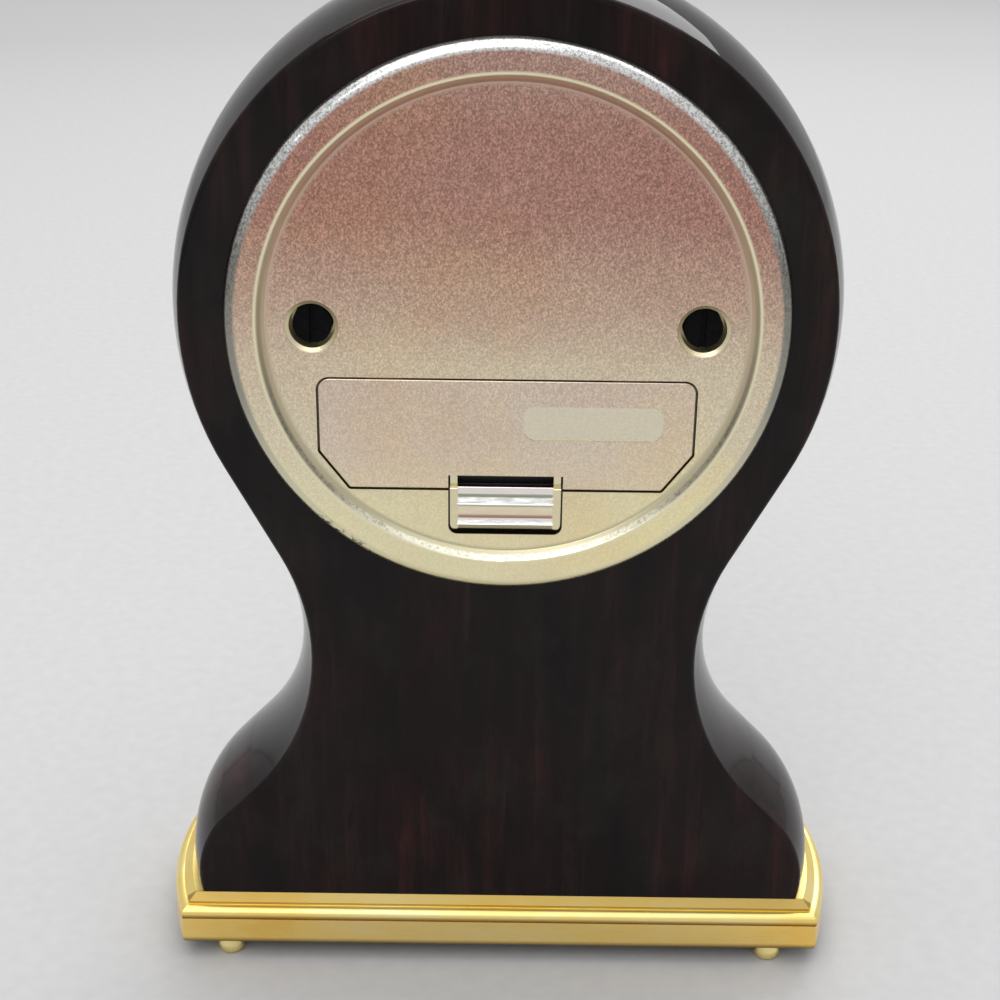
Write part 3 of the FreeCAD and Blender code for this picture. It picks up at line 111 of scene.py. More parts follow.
def mixed(material, factor, first, second, blend="MIX"):
    """From the first to the second by a factor; each is a colour, a grey or a pattern."""
    made = node(material, "ShaderNodeMix", data_type="RGBA", blend_type=blend)
    if isinstance(factor, float):
        made.inputs[0].default_value = factor
    else:
        link(material, factor, made.inputs[0])
    for socket, value in ((made.inputs[6], first), (made.inputs[7], second)):
        if isinstance(value, tuple):
            socket.default_value = (*value, 1.0)
        elif isinstance(value, float):
            socket.default_value = (value, value, value, 1.0)
        else:
            link(material, value, socket)
    return made.outputs[2]


def times(material, first, second):
    """One colour or pattern multiplied by another."""
    return mixed(material, 1.0, first, second, "MULTIPLY")


def raised(material, shader, height, strength, depth, socket="Normal"):
    """Bumps of a given depth on the shader's surface, or on its coat."""
    made = node(material, "ShaderNodeBump", Strength=strength, Distance=depth)
    link(material, height, made.inputs["Height"])
    link(material, made.outputs["Normal"], shader.inputs[socket])


def dress(material, *names):
    """Gives the named pieces their finish."""
    for name in names:
        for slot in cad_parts[name].material_slots:
            slot.material = material


rosewood, shader = finish("lacquered_rosewood", 0.5)
shader.inputs["Specular IOR Level"].default_value = 0.0
shader.inputs["Coat Weight"].default_value = 0.85
shader.inputs["Coat Roughness"].default_value = 0.03
shader.inputs["Coat IOR"].default_value = 1.33
grain = noise(rosewood, (300.0, 300.0, 22.0), 5.0, 0.58, 0.6)
streaks = ramp(rosewood, grain, (0.28, (0.0024, 0.0008, 0.0008)),
               (0.52, (0.0052, 0.0020, 0.0019)), (0.74, (0.0130, 0.0056, 0.0048)))
red_patches = rising(rosewood, noise(rosewood, (38.0, 38.0, 20.0), 3.0, 0.6, 0.6), 0.46, 0.70, 0.60)
reddened = mixed(rosewood, red_patches, streaks, times(rosewood, streaks, (2.1, 0.80, 0.75)))
clouds = ramp(rosewood, noise(rosewood, (60.0, 60.0, 34.0), 4.0, 0.6, 0.3, (0.02, 0.0, 0.01)),
              (0.34, 0.40), (0.66, 2.20))
pores = ramp(rosewood, noise(rosewood, (1500.0, 1500.0, 90.0)), (0.30, 0.35), (0.42, 1.0))
figured = times(rosewood, times(rosewood, reddened, clouds), pores)
bloomed = rising(rosewood, noise(rosewood, (90.0, 90.0, 60.0), 5.0, 0.65, 0.0, (0.0, 0.01, 0.03)),
                 0.50, 0.74, 0.60)
link(rosewood, mixed(rosewood, bloomed, figured, (0.014, 0.013, 0.010)), shader.inputs["Base Color"])
raised(rosewood, shader, noise(rosewood, 170.0, 1.0), 0.08, 0.04 * millimetre, "Coat Normal")
dress(rosewood, "case_body")


# ---------------------------------------------------------------- base plate
# The plate is a moulded bar of zinc, gold plated. Its sloping ledge is left satin along the two
# long sides, where its colour is darkened as painted shade; the bead is brushed, and the band below
# it is buffed along its length. Painted shade darkens the lower part of the bead and the band along
# its lower edge.
def share(material, axis, start, length):
    """How far a point lies from a start along an axis, as a share of a length."""
    split = node(material, "ShaderNodeSeparateXYZ")
    where = place(material, [1.0 / length if name == axis else 0.0 for name in "XYZ"],
                  [start if name == axis else 0.0 for name in "XYZ"])
    link(material, where, split.inputs["Vector"])
    return split.outputs[axis]


def share_each_way(material, axis, middle, half):
    """The same from a middle, counted alike to both sides."""
    made = node(material, "ShaderNodeMath", operation="ABSOLUTE")
    link(material, share(material, axis, middle, half), made.inputs[0])
    return made.outputs["Value"]


plate_low, plate_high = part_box("base_plate")
bead_top = plate_high.z - 1.7 * millimetre
bead_foot = plate_high.z - 3.9 * millimetre
ledge_blend = 0.2 * millimetre
hem_height = 1.9 * millimetre
wood_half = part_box("case_body")[1].y
deep_gold = (0.98, 0.71, 0.20)
plain_gold = (1.0, 0.80, 0.29)
pale_gold = (1.0, 0.86, 0.43)

plate_gold, shader = finish("plate_gold", 0.2, 1.0)
wear = noise(plate_gold, (34.0, 60.0, 120.0), 4.0, 0.6)
plated = ramp(plate_gold, wear, (0.34, deep_gold), (0.50, plain_gold), (0.72, pale_gold))
up_hem = share(plate_gold, "Z", plate_low.z, hem_height)
up_bead = share(plate_gold, "Z", bead_foot, bead_top - bead_foot)
on_bead = rising(plate_gold, up_bead, 0.12, 0.20)
on_ledge = rising(plate_gold, share(plate_gold, "Z", bead_top, ledge_blend), 0.0, 1.0)
on_long_side = rising(plate_gold, share_each_way(plate_gold, "Y", 0.0, wood_half), 0.98, 1.0)
# painted shade: the band darkens towards its lower edge, and the bead towards its underside
painted_shade_hem = ramp(plate_gold, up_hem, (0.12, (0.12, 0.10, 0.05)), (0.52, (0.42, 0.37, 0.24)), (1.0, 1.0))
painted_shade_under_bead = ramp(plate_gold, up_bead, (0.12, (1.0, 0.90, 0.80)), (0.18, (0.36, 0.25, 0.15)),
                  (0.30, (0.55, 0.44, 0.30)), (0.52, 1.0))
sides_with_painted_shade = times(plate_gold, times(plate_gold, plated, painted_shade_hem), painted_shade_under_bead)
# painted shade: the ledge's colour is darkened along the two long sides
painted_ledge_shade = times(plate_gold, plated, (0.48, 0.43, 0.36))
ledge_with_painted_shade = mixed(plate_gold, on_long_side, plated, painted_ledge_shade)
link(plate_gold, mixed(plate_gold, on_ledge, sides_with_painted_shade, ledge_with_painted_shade), shader.inputs["Base Color"])
buffing = noise(plate_gold, (70.0, 2600.0, 2600.0), 3.0, 0.6)
buffed = ramp(plate_gold, buffing, (0.35, 0.18), (0.70, 0.29))
brushed = mixed(plate_gold, on_bead, buffed, 0.38)
link(plate_gold, mixed(plate_gold, on_ledge, brushed, 0.42), shader.inputs["Roughness"])
raised(plate_gold, shader, buffing, 0.08, 0.02 * millimetre)
dress(plate_gold, "base_plate")


# ---------------------------------------------------------------- base feet
# Four button feet, turned from brass rod and pressed into the plate, are plated with it. Fine
# rings from the turning run round them.
def coloured(material, shader, pattern, dark, pale, low=0.3, high=0.7):
    """The pattern as colour, dark up to the low place and pale from the high one."""
    link(material, ramp(material, pattern, (low, dark), (high, pale)), shader.inputs["Base Color"])


def polished(material, shader, pattern, smooth, rough, low=0.3, high=0.7):
    """The pattern as polish, smooth up to the low place and rough from the high one."""
    link(material, ramp(material, pattern, (low, smooth), (high, rough)), shader.inputs["Roughness"])


turned_gold, shader = finish("turned_gold", 0.2, 1.0)
turning = noise(turned_gold, (300.0, 300.0, 5200.0))
coloured(turned_gold, shader, turning, plain_gold, pale_gold)
polished(turned_gold, shader, turning, 0.14, 0.26)
raised(turned_gold, shader, turning, 0.12, 0.02 * millimetre)
dress(turned_gold, "base_feet")


# ---------------------------------------------------------------- screws
# Steel screws with slotted heads: two wood screws hold the plate to the case from below, and
# smaller ones hold the rear cover and the movement. The heads are brushed before plating.
steel, shader = finish("plain_steel", 0.32, 1.0)
drawn = noise(steel, 1100.0, 3.0, 0.6)
coloured(steel, shader, drawn, (0.42, 0.42, 0.43), (0.62, 0.61, 0.60))
polished(steel, shader, drawn, 0.22, 0.42)
raised(steel, shader, drawn, 0.1, 0.02 * millimetre)
dress(steel, "base_screws", "cover_screws", "movement_screws")


# ---------------------------------------------------------------- bezel
# The bezel is spun from brass sheet and gold plated, with a rolled crest round the glass. Its can
# passes through the bore and is what the rear cover's screws pull against.
spun_gold, shader = finish("spun_gold", 0.12, 1.0)
hairlines = noise(spun_gold, 2600.0, 2.0, 0.7)
coloured(spun_gold, shader, noise(spun_gold, 90.0, 4.0, 0.6), plain_gold, pale_gold, 0.32, 0.70)
polished(spun_gold, shader, hairlines, 0.08, 0.17, 0.35, 0.70)
raised(spun_gold, shader, hairlines, 0.04, 0.02 * millimetre)
dress(spun_gold, "bezel")


# ---------------------------------------------------------------- lens
# The glass is a shallow dome, ground and polished, with a flat edge under the bezel's lip. A few
# faint smears are left on it.
glass, shader = finish("domed_glass", 0.02)
shader.inputs["Base Color"].default_value = (0.98, 1.0, 0.99, 1.0)
shader.inputs["Transmission Weight"].default_value = 1.0
shader.inputs["IOR"].default_value = 1.5
polished(glass, shader, noise(glass, 60.0, 3.0), 0.010, 0.045, 0.45, 0.80)
dress(glass, "lens")


# ---------------------------------------------------------------- lens gasket
# A flat ring, stamped from soft black rubber sheet, beds the glass against the bezel's lip. The
# flange ring behind the glass presses it flat.
rubber, shader = finish("gasket_rubber", 0.75)
bloom = noise(rubber, 1800.0)
coloured(rubber, shader, bloom, 0.015, 0.04)
raised(rubber, shader, bloom, 0.3, 0.03 * millimetre)
dress(rubber, "lens_gasket")


# ---------------------------------------------------------------- flange ring
# The sloping ring between glass and dial is pressed from brass and satin plated, so that it
# throws a soft light on the minute track.
flange_gold, shader = finish("flange_gold", 0.34, 1.0)
frost = noise(flange_gold, 2400.0, 3.0, 0.6)
coloured(flange_gold, shader, frost, plain_gold, pale_gold)
raised(flange_gold, shader, frost, 0.2, 0.02 * millimetre)
dress(flange_gold, "flange_ring")


# ---------------------------------------------------------------- dial
# A pressed metal disc sprayed in fine matt ivory. The minute track and the hours are printed on
# it in black ink, thick enough to feel.
ivory, shader = finish("ivory_dial_paint", 0.5)
mottle = noise(ivory, 1500.0, 3.0)
coloured(ivory, shader, mottle, (0.89, 0.86, 0.76), (0.93, 0.90, 0.81))
raised(ivory, shader, mottle, 0.15, 0.02 * millimetre)
dress(ivory, "dial")

dial_low, dial_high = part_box("dial")
dial_centre = (dial_low + dial_high) / 2
track_inner = 36.95 * millimetre
track_outer = 37.75 * millimetre
track_line = 0.09 * millimetre
minute_tick = 0.14 * millimetre
hour_ring = 27.6 * millimetre
hour_size = 5.6 * millimetre
ink_thick = 0.02 * millimetre
hours = 12
minutes = 60
hidden_hour = 6          # its place is taken by the date window
ring_steps = 180
weld = 1e-7


def facing_dial(face_y, angle=0.0):
    """From flat print, x right and y up, to a place on a face seen from the dial's side."""
    return (Matrix.Translation((dial_centre.x, face_y, dial_centre.z))
            @ Matrix.Rotation(math.pi / 2, 4, "X") @ Matrix.Rotation(angle, 4, "Z"))


def lettered(ink, text, size, matrix):
    """Adds printed figures to a bmesh, centred and standing upright before the matrix."""
    curve = bpy.data.curves.new("print", "FONT")
    curve.body = text
    curve.size = size
    curve.align_x = "CENTER"
    curve.align_y = "CENTER"
    curve.extrude = ink_thick / 2
    written = bpy.data.objects.new("print", curve)
    bpy.context.scene.collection.objects.link(written)
    bpy.context.view_layer.update()
    flat = bpy.data.meshes.new_from_object(written)
    flat.transform(matrix @ Matrix.Translation((0.0, 0.0, ink_thick / 2)))
    ink.from_mesh(flat)
    bpy.data.objects.remove(written)
    bpy.data.curves.remove(curve)
    bpy.data.meshes.remove(flat)


def thin_ring(ink, inner, outer, matrix):
    """Adds a flat ring with the ink's thickness, its small square section spun full round."""
    before = set(ink.verts)
    section = bmesh.ops.create_grid(ink, x_segments=1, y_segments=1, size=0.5)["verts"]
    bmesh.ops.scale(ink, vec=(outer - inner, ink_thick, 1.0), verts=section)
    bmesh.ops.rotate(ink, cent=(0, 0, 0), matrix=Matrix.Rotation(math.pi / 2, 3, "X"), verts=section)
    bmesh.ops.translate(ink, vec=((outer + inner) / 2, 0.0, ink_thick / 2), verts=section)
    swept = [face for face in ink.faces if all(vert in section for vert in face.verts)]
    edges = {edge for face in swept for edge in face.edges}
    bmesh.ops.spin(ink, geom=list(section) + list(edges), cent=(0, 0, 0), axis=(0, 0, 1),
                   steps=ring_steps, angle=2 * math.pi, use_merge=True)
    bmesh.ops.delete(ink, geom=swept, context="FACES_ONLY")
    fresh = [vert for vert in ink.verts if vert not in before]
    bmesh.ops.transform(ink, matrix=matrix, verts=fresh)


def printed_piece(name, print_mesh, material, body):
    """A printed piece from a bmesh, riding on a body."""
    bmesh.ops.recalc_face_normals(print_mesh, faces=print_mesh.faces)
    mesh = bpy.data.meshes.new(name)
    print_mesh.to_mesh(mesh)
    print_mesh.free()
    mesh.materials.append(material)
    made = bpy.data.objects.new(name, mesh)
    bpy.context.scene.collection.objects.link(made)
    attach(made, body)


black_ink, shader = finish("black_ink", 0.45)
ink_grain = noise(black_ink, 2600.0, 3.0)
coloured(black_ink, shader, ink_grain, (0.010, 0.010, 0.011), (0.022, 0.022, 0.024))
raised(black_ink, shader, ink_grain, 0.2, 0.01 * millimetre)

dial_print = bmesh.new()
for hour in range(1, hours + 1):
    if hour != hidden_hour:
        around = math.pi / 2 - hour * 2 * math.pi / hours
        spot = Matrix.Translation((hour_ring * math.cos(around), hour_ring * math.sin(around), 0.0))
        lettered(dial_print, str(hour), hour_size, facing_dial(dial_low.y) @ spot)
for minute in range(minutes):
    tick = bmesh.ops.create_cube(dial_print, size=1.0)["verts"]
    bmesh.ops.scale(dial_print, vec=(minute_tick, track_outer - track_inner, ink_thick), verts=tick)
    bmesh.ops.translate(dial_print, vec=(0.0, (track_outer + track_inner) / 2, ink_thick / 2),
                        verts=tick)
    bmesh.ops.transform(dial_print, matrix=facing_dial(dial_low.y, minute * 2 * math.pi / minutes),
                        verts=tick)
for line in (track_inner, track_outer - track_line):
    thin_ring(dial_print, line, line + track_line, facing_dial(dial_low.y))
bmesh.ops.remove_doubles(dial_print, verts=dial_print.verts, dist=weld)
printed_piece("dial_print", dial_print, black_ink, "case")


# ---------------------------------------------------------------- hour batons and date frame
# The batons and the frame round the date window are cut from brass, facetted, polished and gold
# plated, and their pins are riveted through the dial.
facet_gold, shader = finish("facet_gold", 0.1, 1.0)
facets = noise(facet_gold, 400.0, 3.0)
coloured(facet_gold, shader, facets, plain_gold, pale_gold)
polished(facet_gold, shader, facets, 0.07, 0.16)
dress(facet_gold, "hour_markers", "date_frame")


# ---------------------------------------------------------------- centre bush and pillars
# Plain turned brass: the threaded bush that the hands come through, and the two pillars that
# carry the movement on the calendar plate.
brass, shader = finish("turned_brass", 0.25, 1.0)
tooled = noise(brass, (400.0, 3600.0, 400.0))
coloured(brass, shader, tooled, (0.66, 0.46, 0.18), (0.76, 0.56, 0.26))
polished(brass, shader, tooled, 0.2, 0.36)
dress(brass, "centre_bush", "pillars")


# ---------------------------------------------------------------- date ring
# The date ring is moulded in white plastic with three teeth for each day, and the days from 1 to
# 31 are printed round it, each upright as it comes to the window below the middle.
def moulded(name, dark, pale, roughness, fineness=2400.0):
    """A moulding's finish: one colour with a fine even grain in it and on it."""
    material, shader = finish(name, roughness)
    texture = noise(material, fineness, 3.0)
    coloured(material, shader, texture, dark, pale)
    raised(material, shader, texture, 0.2, 0.02 * millimetre)
    return material, shader


white_plastic, shader = moulded("white_date_ring", (0.80, 0.80, 0.77), (0.87, 0.87, 0.84), 0.40)
dress(white_plastic, "date_ring")

date_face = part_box("date_ring")[0].y
window_low, window_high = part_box("date_frame")
window_drop = dial_centre.z - (window_low.z + window_high.z) / 2
days = 31
day_shown = 17
day_size = 4.3 * millimetre
day_print = bmesh.new()
for day in range(1, days + 1):
    turn = (day - day_shown) * 2 * math.pi / days
    below = Matrix.Translation((0.0, -window_drop, 0.0))
    lettered(day_print, str(day), day_size, facing_dial(date_face, turn) @ below)
printed_piece("day_numbers", day_print, black_ink, "date_work")


# ---------------------------------------------------------------- calendar plate and date pinion
# The calendar plate, moulded in black, guides the date ring behind the dial and holds the long
# date pinion, moulded in acetal, that the rear knob turns.
black_plastic, shader = moulded("black_plastic", (0.012, 0.012, 0.013), (0.028, 0.028, 0.030), 0.38)
dress(black_plastic, "calendar_plate")
acetal, shader = moulded("natural_acetal", (0.70, 0.68, 0.60), (0.80, 0.78, 0.70), 0.42)
dress(acetal, "date_pinion")


# ---------------------------------------------------------------- motion work
# The wheels under the dial that turn the hour hand once for twelve turns of the minute hand, and
# the setting idler and long pinion that turn both from the back. All are moulded in acetal.
dress(acetal, "minute_arbor", "hour_wheel", "motion_wheel", "setting_idler", "time_pinion")


# ---------------------------------------------------------------- hands
# Leaf hands pressed from brass: hour and minute in gloss black lacquer, the second hand gilt.
# Each is pushed on to the end of its own tube or arbor.
hand_black, shader = finish("hand_lacquer", 0.22)
lacquer = noise(hand_black, 700.0, 3.0)
coloured(hand_black, shader, lacquer, (0.009, 0.009, 0.010), (0.020, 0.020, 0.022))
raised(hand_black, shader, lacquer, 0.1, 0.02 * millimetre)
dress(hand_black, "hour_hand", "minute_hand")
dress(facet_gold, "second_hand")


# ---------------------------------------------------------------- movement
# The quartz movement's tray and lid are moulded in black. Its train of acetal wheels runs between
# them, from the magnet rotor down to the wheel that carries the second hand and back up to the
# centre wheel.
dress(black_plastic, "movement_base", "movement_lid")
dress(acetal, "rotor", "fifth_wheel", "second_wheel", "third_wheel", "centre_wheel")


# ---------------------------------------------------------------- stator and coil
# The stator is two strips of soft iron round the rotor. The coil is enamelled copper wire wound
# on a black bobbin, and its turns lie close side by side.
iron, shader = finish("stator_iron", 0.4, 1.0)
rolled = noise(iron, (90.0, 2200.0, 2200.0), 3.0)
coloured(iron, shader, rolled, (0.36, 0.36, 0.37), (0.52, 0.51, 0.50))
dress(iron, "stator")
dress(black_plastic, "coil_bobbin")

copper, shader = finish("copper_winding", 0.3, 1.0)
turns = node(copper, "ShaderNodeTexWave", Scale=2200.0, bands_direction="Z")
link(copper, place(copper), turns.inputs["Vector"])
coloured(copper, shader, turns.outputs["Fac"], (0.35, 0.12, 0.05), (0.75, 0.34, 0.18), 0.2, 0.8)
raised(copper, shader, turns.outputs["Fac"], 0.6, 0.05 * millimetre)
dress(copper, "coil")


# ---------------------------------------------------------------- circuit board and crystal
# A small green board with bare copper tracks lies against the tray and feeds the coil. It is
# timed by a crystal in a steel can, soldered to the board.
tracks_apart = 1.6 * millimetre
track_share = 0.06
board, shader = finish("green_board", 0.35)
tracks = node(board, "ShaderNodeTexBrick", Scale=1.0 / tracks_apart, Color1=(0.02, 0.14, 0.05, 1.0),
              Color2=(0.025, 0.17, 0.06, 1.0), Mortar=(0.10, 0.30, 0.10, 1.0))
tracks.inputs["Mortar Size"].default_value = track_share
board_face = node(board, "ShaderNodeMapping")
board_face.inputs["Rotation"].default_value = (math.pi / 2, 0.0, 0.0)
link(board, place(board), board_face.inputs["Vector"])
link(board, board_face.outputs["Vector"], tracks.inputs["Vector"])
link(board, tracks.outputs["Color"], shader.inputs["Base Color"])
raised(board, shader, tracks.outputs["Fac"], 0.3, 0.03 * millimetre)
dress(board, "circuit_board")
dress(steel, "quartz_crystal")


# ---------------------------------------------------------------- rear cover
# The cover is die cast in zinc, blasted and plated in satin champagne, with painted light and shade
# by height: pale yellow low down, rosy and dark towards the top. Screws pull it against the bezel's
# can. Its step and the rim's bevel are turned; painted highlights and painted shade by height make
# them bright above and below and dull at the sides, and chips have come off the rim's edge.
cover_low, cover_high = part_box("rear_cover")
cover_centre = (cover_low + cover_high) / 2
cover_radius = (cover_high.x - cover_low.x) / 2
floor_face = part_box("battery_door")[1].y
recess = 0.3 * millimetre
knob_reach = 6.0 * millimetre
chip_reach = 6.0 * millimetre
chip_place = cover_centre + Vector((0.60, 0.0, -0.78)) * cover_radius
# painted light and shade by height over the cover: pale yellow low down, rosy and dark near the top
champagne_painted_light_tones = ((0.02, (0.96, 0.89, 0.57)), (0.15, (0.94, 0.87, 0.56)),
                   (0.29, (0.84, 0.75, 0.55)), (0.43, (0.79, 0.68, 0.50)),
                   (0.53, (0.66, 0.49, 0.37)), (0.70, (0.51, 0.29, 0.23)),
                   (0.85, (0.50, 0.28, 0.22)), (0.97, (0.55, 0.36, 0.29)))


def satin_champagne(name, tones):
    """Blasted champagne plating: painted light and shade by height, clouds, painted sparkle and grain.
    """
    material, shader = finish(name, 0.36, 1.0)
    height = share(material, "Z", cover_centre.z - cover_radius, 2 * cover_radius)
    painted_light_tone = ramp(material, height, *tones)
    rosy = rising(material, noise(material, 46.0, 3.0, 0.55), 0.40, 0.70, 0.55)
    tinted = mixed(material, rosy, painted_light_tone, times(material, painted_light_tone, (0.93, 0.82, 0.84)))
    tan = rising(material, noise(material, 38.0, 3.0, 0.55, 0.0, (0.03, 0.0, 0.05)), 0.46, 0.66, 0.70)
    tinted = mixed(material, tan, tinted, times(material, tinted, (1.06, 1.0, 0.84)))
    grains = noise(material, (3300.0, 3300.0, 2640.0), 2.0, 0.75)
    # painted sparkle: grains lighten and darken the colour, most towards the top
    painted_sparkle = ramp(material, grains, (0.32, 0.60), (0.50, 0.98), (0.70, 1.60))
    painted_sparkle_mask = ramp(material, height, (0.10, 0.16), (0.45, 0.5), (0.66, 1.0))
    tone_with_painted_light = mixed(material, painted_sparkle_mask, tinted, times(material, tinted, painted_sparkle))
    raised(material, shader, grains, 0.35, 0.05 * millimetre)
    return material, shader, tone_with_painted_light, height


def from_centre(material, centre, reach, axes="XZ"):
    """How far a point lies from a centre, seen along the axis left out, as a share of a reach."""
    made = node(material, "ShaderNodeVectorMath", operation="LENGTH")
    scale = [1.0 / reach if name in axes else 0.0 for name in "XYZ"]
    link(material, place(material, scale, centre), made.inputs[0])
    return made.outputs["Value"]


def band(material, factor, start, full, waning, end):
    """All between full and waning, and nothing before the start or after the end."""
    return ramp(material, factor, (start, 0.0), (full, 1.0), (waning, 1.0), (end, 0.0))


champagne, shader, colour, height = satin_champagne("champagne_casting", champagne_painted_light_tones)
outwards = from_centre(champagne, cover_centre, cover_radius)

# the soft shoulder at the foot of the step, in painted shade that changes with height
shoulder = band(champagne, outwards, 0.838, 0.850, 0.864, 0.868)
shaded = ramp(champagne, height, (0.05, (0.62, 0.57, 0.38)), (0.25, (0.66, 0.60, 0.42)),
              (0.55, (0.66, 0.53, 0.39)), (0.80, (0.60, 0.42, 0.33)), (0.95, (0.64, 0.46, 0.36)))
colour = mixed(champagne, shoulder, colour, shaded)

# the step, painted bright below and above and in shade at the sides, with crumbs of plating on its
# lower part, and a painted highlight along the brim at its head
step = band(champagne, outwards, 0.862, 0.867, 0.882, 0.890)
step_painted_light = ramp(champagne, height, (0.06, (0.88, 0.88, 0.74)), (0.15, (0.80, 0.78, 0.62)),
               (0.20, (0.45, 0.42, 0.32)), (0.32, (0.30, 0.28, 0.21)), (0.60, (0.52, 0.45, 0.32)),
               (0.90, (0.74, 0.60, 0.45)))
crumbs = ramp(champagne, noise(champagne, 1500.0, 2.0, 0.7), (0.35, 0.66), (0.55, 1.1))
crumbs = mixed(champagne, rising(champagne, height, 0.30, 0.42), crumbs, 1.0)
colour = mixed(champagne, step, colour, times(champagne, step_painted_light, crumbs))
brim_painted_highlight = band(champagne, outwards, 0.876, 0.882, 0.886, 0.892)
colour = mixed(champagne, brim_painted_highlight, colour, (0.97, 0.90, 0.62))

# the rim's bevel, with painted reflections by height, bright below and above and dark at the sides,
# and painted glitter in its upper half
bevel = rising(champagne, outwards, 0.953, 0.963)
bevel_painted_reflection = ramp(champagne, height, (0.05, (0.95, 0.88, 0.57)), (0.22, (0.70, 0.66, 0.48)),
               (0.38, (0.34, 0.33, 0.28)), (0.62, (0.28, 0.27, 0.24)), (0.84, (0.84, 0.84, 0.81)),
               (0.95, (0.96, 0.96, 0.94)))
painted_glitter = ramp(champagne, noise(champagne, 2100.0, 2.0, 0.8), (0.36, 0.50), (0.50, 0.95), (0.62, 1.30))
bevel_painted_light = mixed(champagne, rising(champagne, height, 0.40, 0.62), bevel_painted_reflection,
                times(champagne, bevel_painted_reflection, painted_glitter))
colour = mixed(champagne, bevel, colour, bevel_painted_light)

# below the floor's face the casting is painted dark as shade, but for the chamfers of the two knobs'
# holes, which are painted bright
painted_shade_below_floor = rising(champagne, share(champagne, "Y", floor_face, -recess), 0.2, 0.5)
colour = mixed(champagne, painted_shade_below_floor, colour, (0.20, 0.17, 0.12))
for knob in ("time_knob", "date_knob"):
    knob_low, knob_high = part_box(knob)
    from_knob = from_centre(champagne, (knob_low + knob_high) / 2, knob_reach)
    by_hole = ramp(champagne, from_knob, (0.90, 1.0), (1.0, 0.0))
    colour = mixed(champagne, times(champagne, by_hole, painted_shade_below_floor), colour, (0.90, 0.82, 0.56))

# chips out of the rim's edge, most of them in one place low on the rim
edge = rising(champagne, outwards, 0.958, 0.982)
nicks = rising(champagne, noise(champagne, 800.0, 4.0, 0.7), 0.52, 0.56)
knocked = ramp(champagne, from_centre(champagne, chip_place, chip_reach), (0.0, 1.0), (0.7, 0.9),
               (1.0, 0.03))
chips = times(champagne, times(champagne, edge, nicks), knocked)
link(champagne, mixed(champagne, chips, colour, (0.07, 0.055, 0.045)), shader.inputs["Base Color"])
link(champagne, mixed(champagne, chips, mixed(champagne, bevel, 0.36, 0.24), 0.7),
     shader.inputs["Roughness"])
dress(champagne, "rear_cover")


# ---------------------------------------------------------------- setting knobs
# Two black mouldings with a screwdriver slot sit deep in the cover's holes: one on the date
# pinion, one on the time pinion.
knob_black, shader = moulded("knob_black", (0.002, 0.002, 0.003), (0.006, 0.006, 0.007), 0.6)
shader.inputs["Specular IOR Level"].default_value = 0.06
dress(knob_black, "time_knob", "date_knob")


# ---------------------------------------------------------------- battery contacts
# A flat strip for the cell's nub and a bowed leaf for its other end, both of nickel-plated spring
# brass. They are fixed in the ends of the bay.
nickel, shader = finish("nickel_contacts", 0.2, 1.0)
springy = noise(nickel, 1500.0, 3.0)
coloured(nickel, shader, springy, (0.60, 0.57, 0.50), (0.74, 0.71, 0.64))
polished(nickel, shader, springy, 0.14, 0.3)
dress(nickel, "battery_plus_contact", "battery_minus_contact")


# ---------------------------------------------------------------- battery
# An AA cell: a steel can with bare ends in a plain printed sleeve, dark grey with one pale band
# at the positive end.
cell_low, cell_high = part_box("battery")
bare_steel = (0.60, 0.60, 0.60)
sleeve_grey = (0.05, 0.05, 0.055)
pale_band = (0.62, 0.62, 0.60)
cell, shader = finish("cell_sleeve", 0.3)
along = share(cell, "X", cell_low.x, cell_high.x - cell_low.x)
printed = ramp(cell, along, (0.0, (0.55, 0.55, 0.55)), (0.018, sleeve_grey),
               (0.80, (0.06, 0.06, 0.065)), (0.802, pale_band), (0.86, pale_band),
               (0.862, sleeve_grey), (0.95, sleeve_grey), (0.955, bare_steel))
scuffs = ramp(cell, noise(cell, (300.0, 900.0, 900.0), 3.0), (0.3, 0.85), (0.7, 1.1))
link(cell, times(cell, printed, scuffs), shader.inputs["Base Color"])
bare = ramp(cell, along, (0.0, 1.0), (0.018, 0.0), (0.95, 0.0), (0.955, 1.0))
link(cell, bare, shader.inputs["Metallic"])
dress(cell, "battery")


# ---------------------------------------------------------------- battery door and its pads
# The door is cast and plated like the cover, painted light and shade included, but a shade rosier,
# and its recessed lozenge is polished.
# It hangs by the tabs at its top edge. Foam pads glued inside press on the cell.
door_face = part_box("battery_door")[1].y
door_tint = (0.96, 0.92, 1.00)
lozenge_depth = 0.12 * millimetre
# the cover's painted light and shade by height, tinted rosier
door_painted_light_tones = tuple((position, tuple(part * tint for part, tint in zip(colour_there, door_tint)))
                   for position, colour_there in champagne_painted_light_tones)
door_plating, shader, tone_with_painted_light, height = satin_champagne("door_plating", door_painted_light_tones)
on_lozenge = rising(door_plating, share(door_plating, "Y", door_face, -lozenge_depth), 0.6, 1.0)
patches = ramp(door_plating, noise(door_plating, 3300.0), (0.30, (0.76, 0.69, 0.52)),
               (0.70, (0.86, 0.79, 0.62)))
link(door_plating, mixed(door_plating, on_lozenge, tone_with_painted_light, patches), shader.inputs["Base Color"])
link(door_plating, mixed(door_plating, on_lozenge, 0.36, 0.20), shader.inputs["Roughness"])
dress(door_plating, "battery_door")
foam, shader = moulded("pad_foam", (0.03, 0.03, 0.03), (0.10, 0.10, 0.10), 0.9, 900.0)
dress(foam, "door_pads")


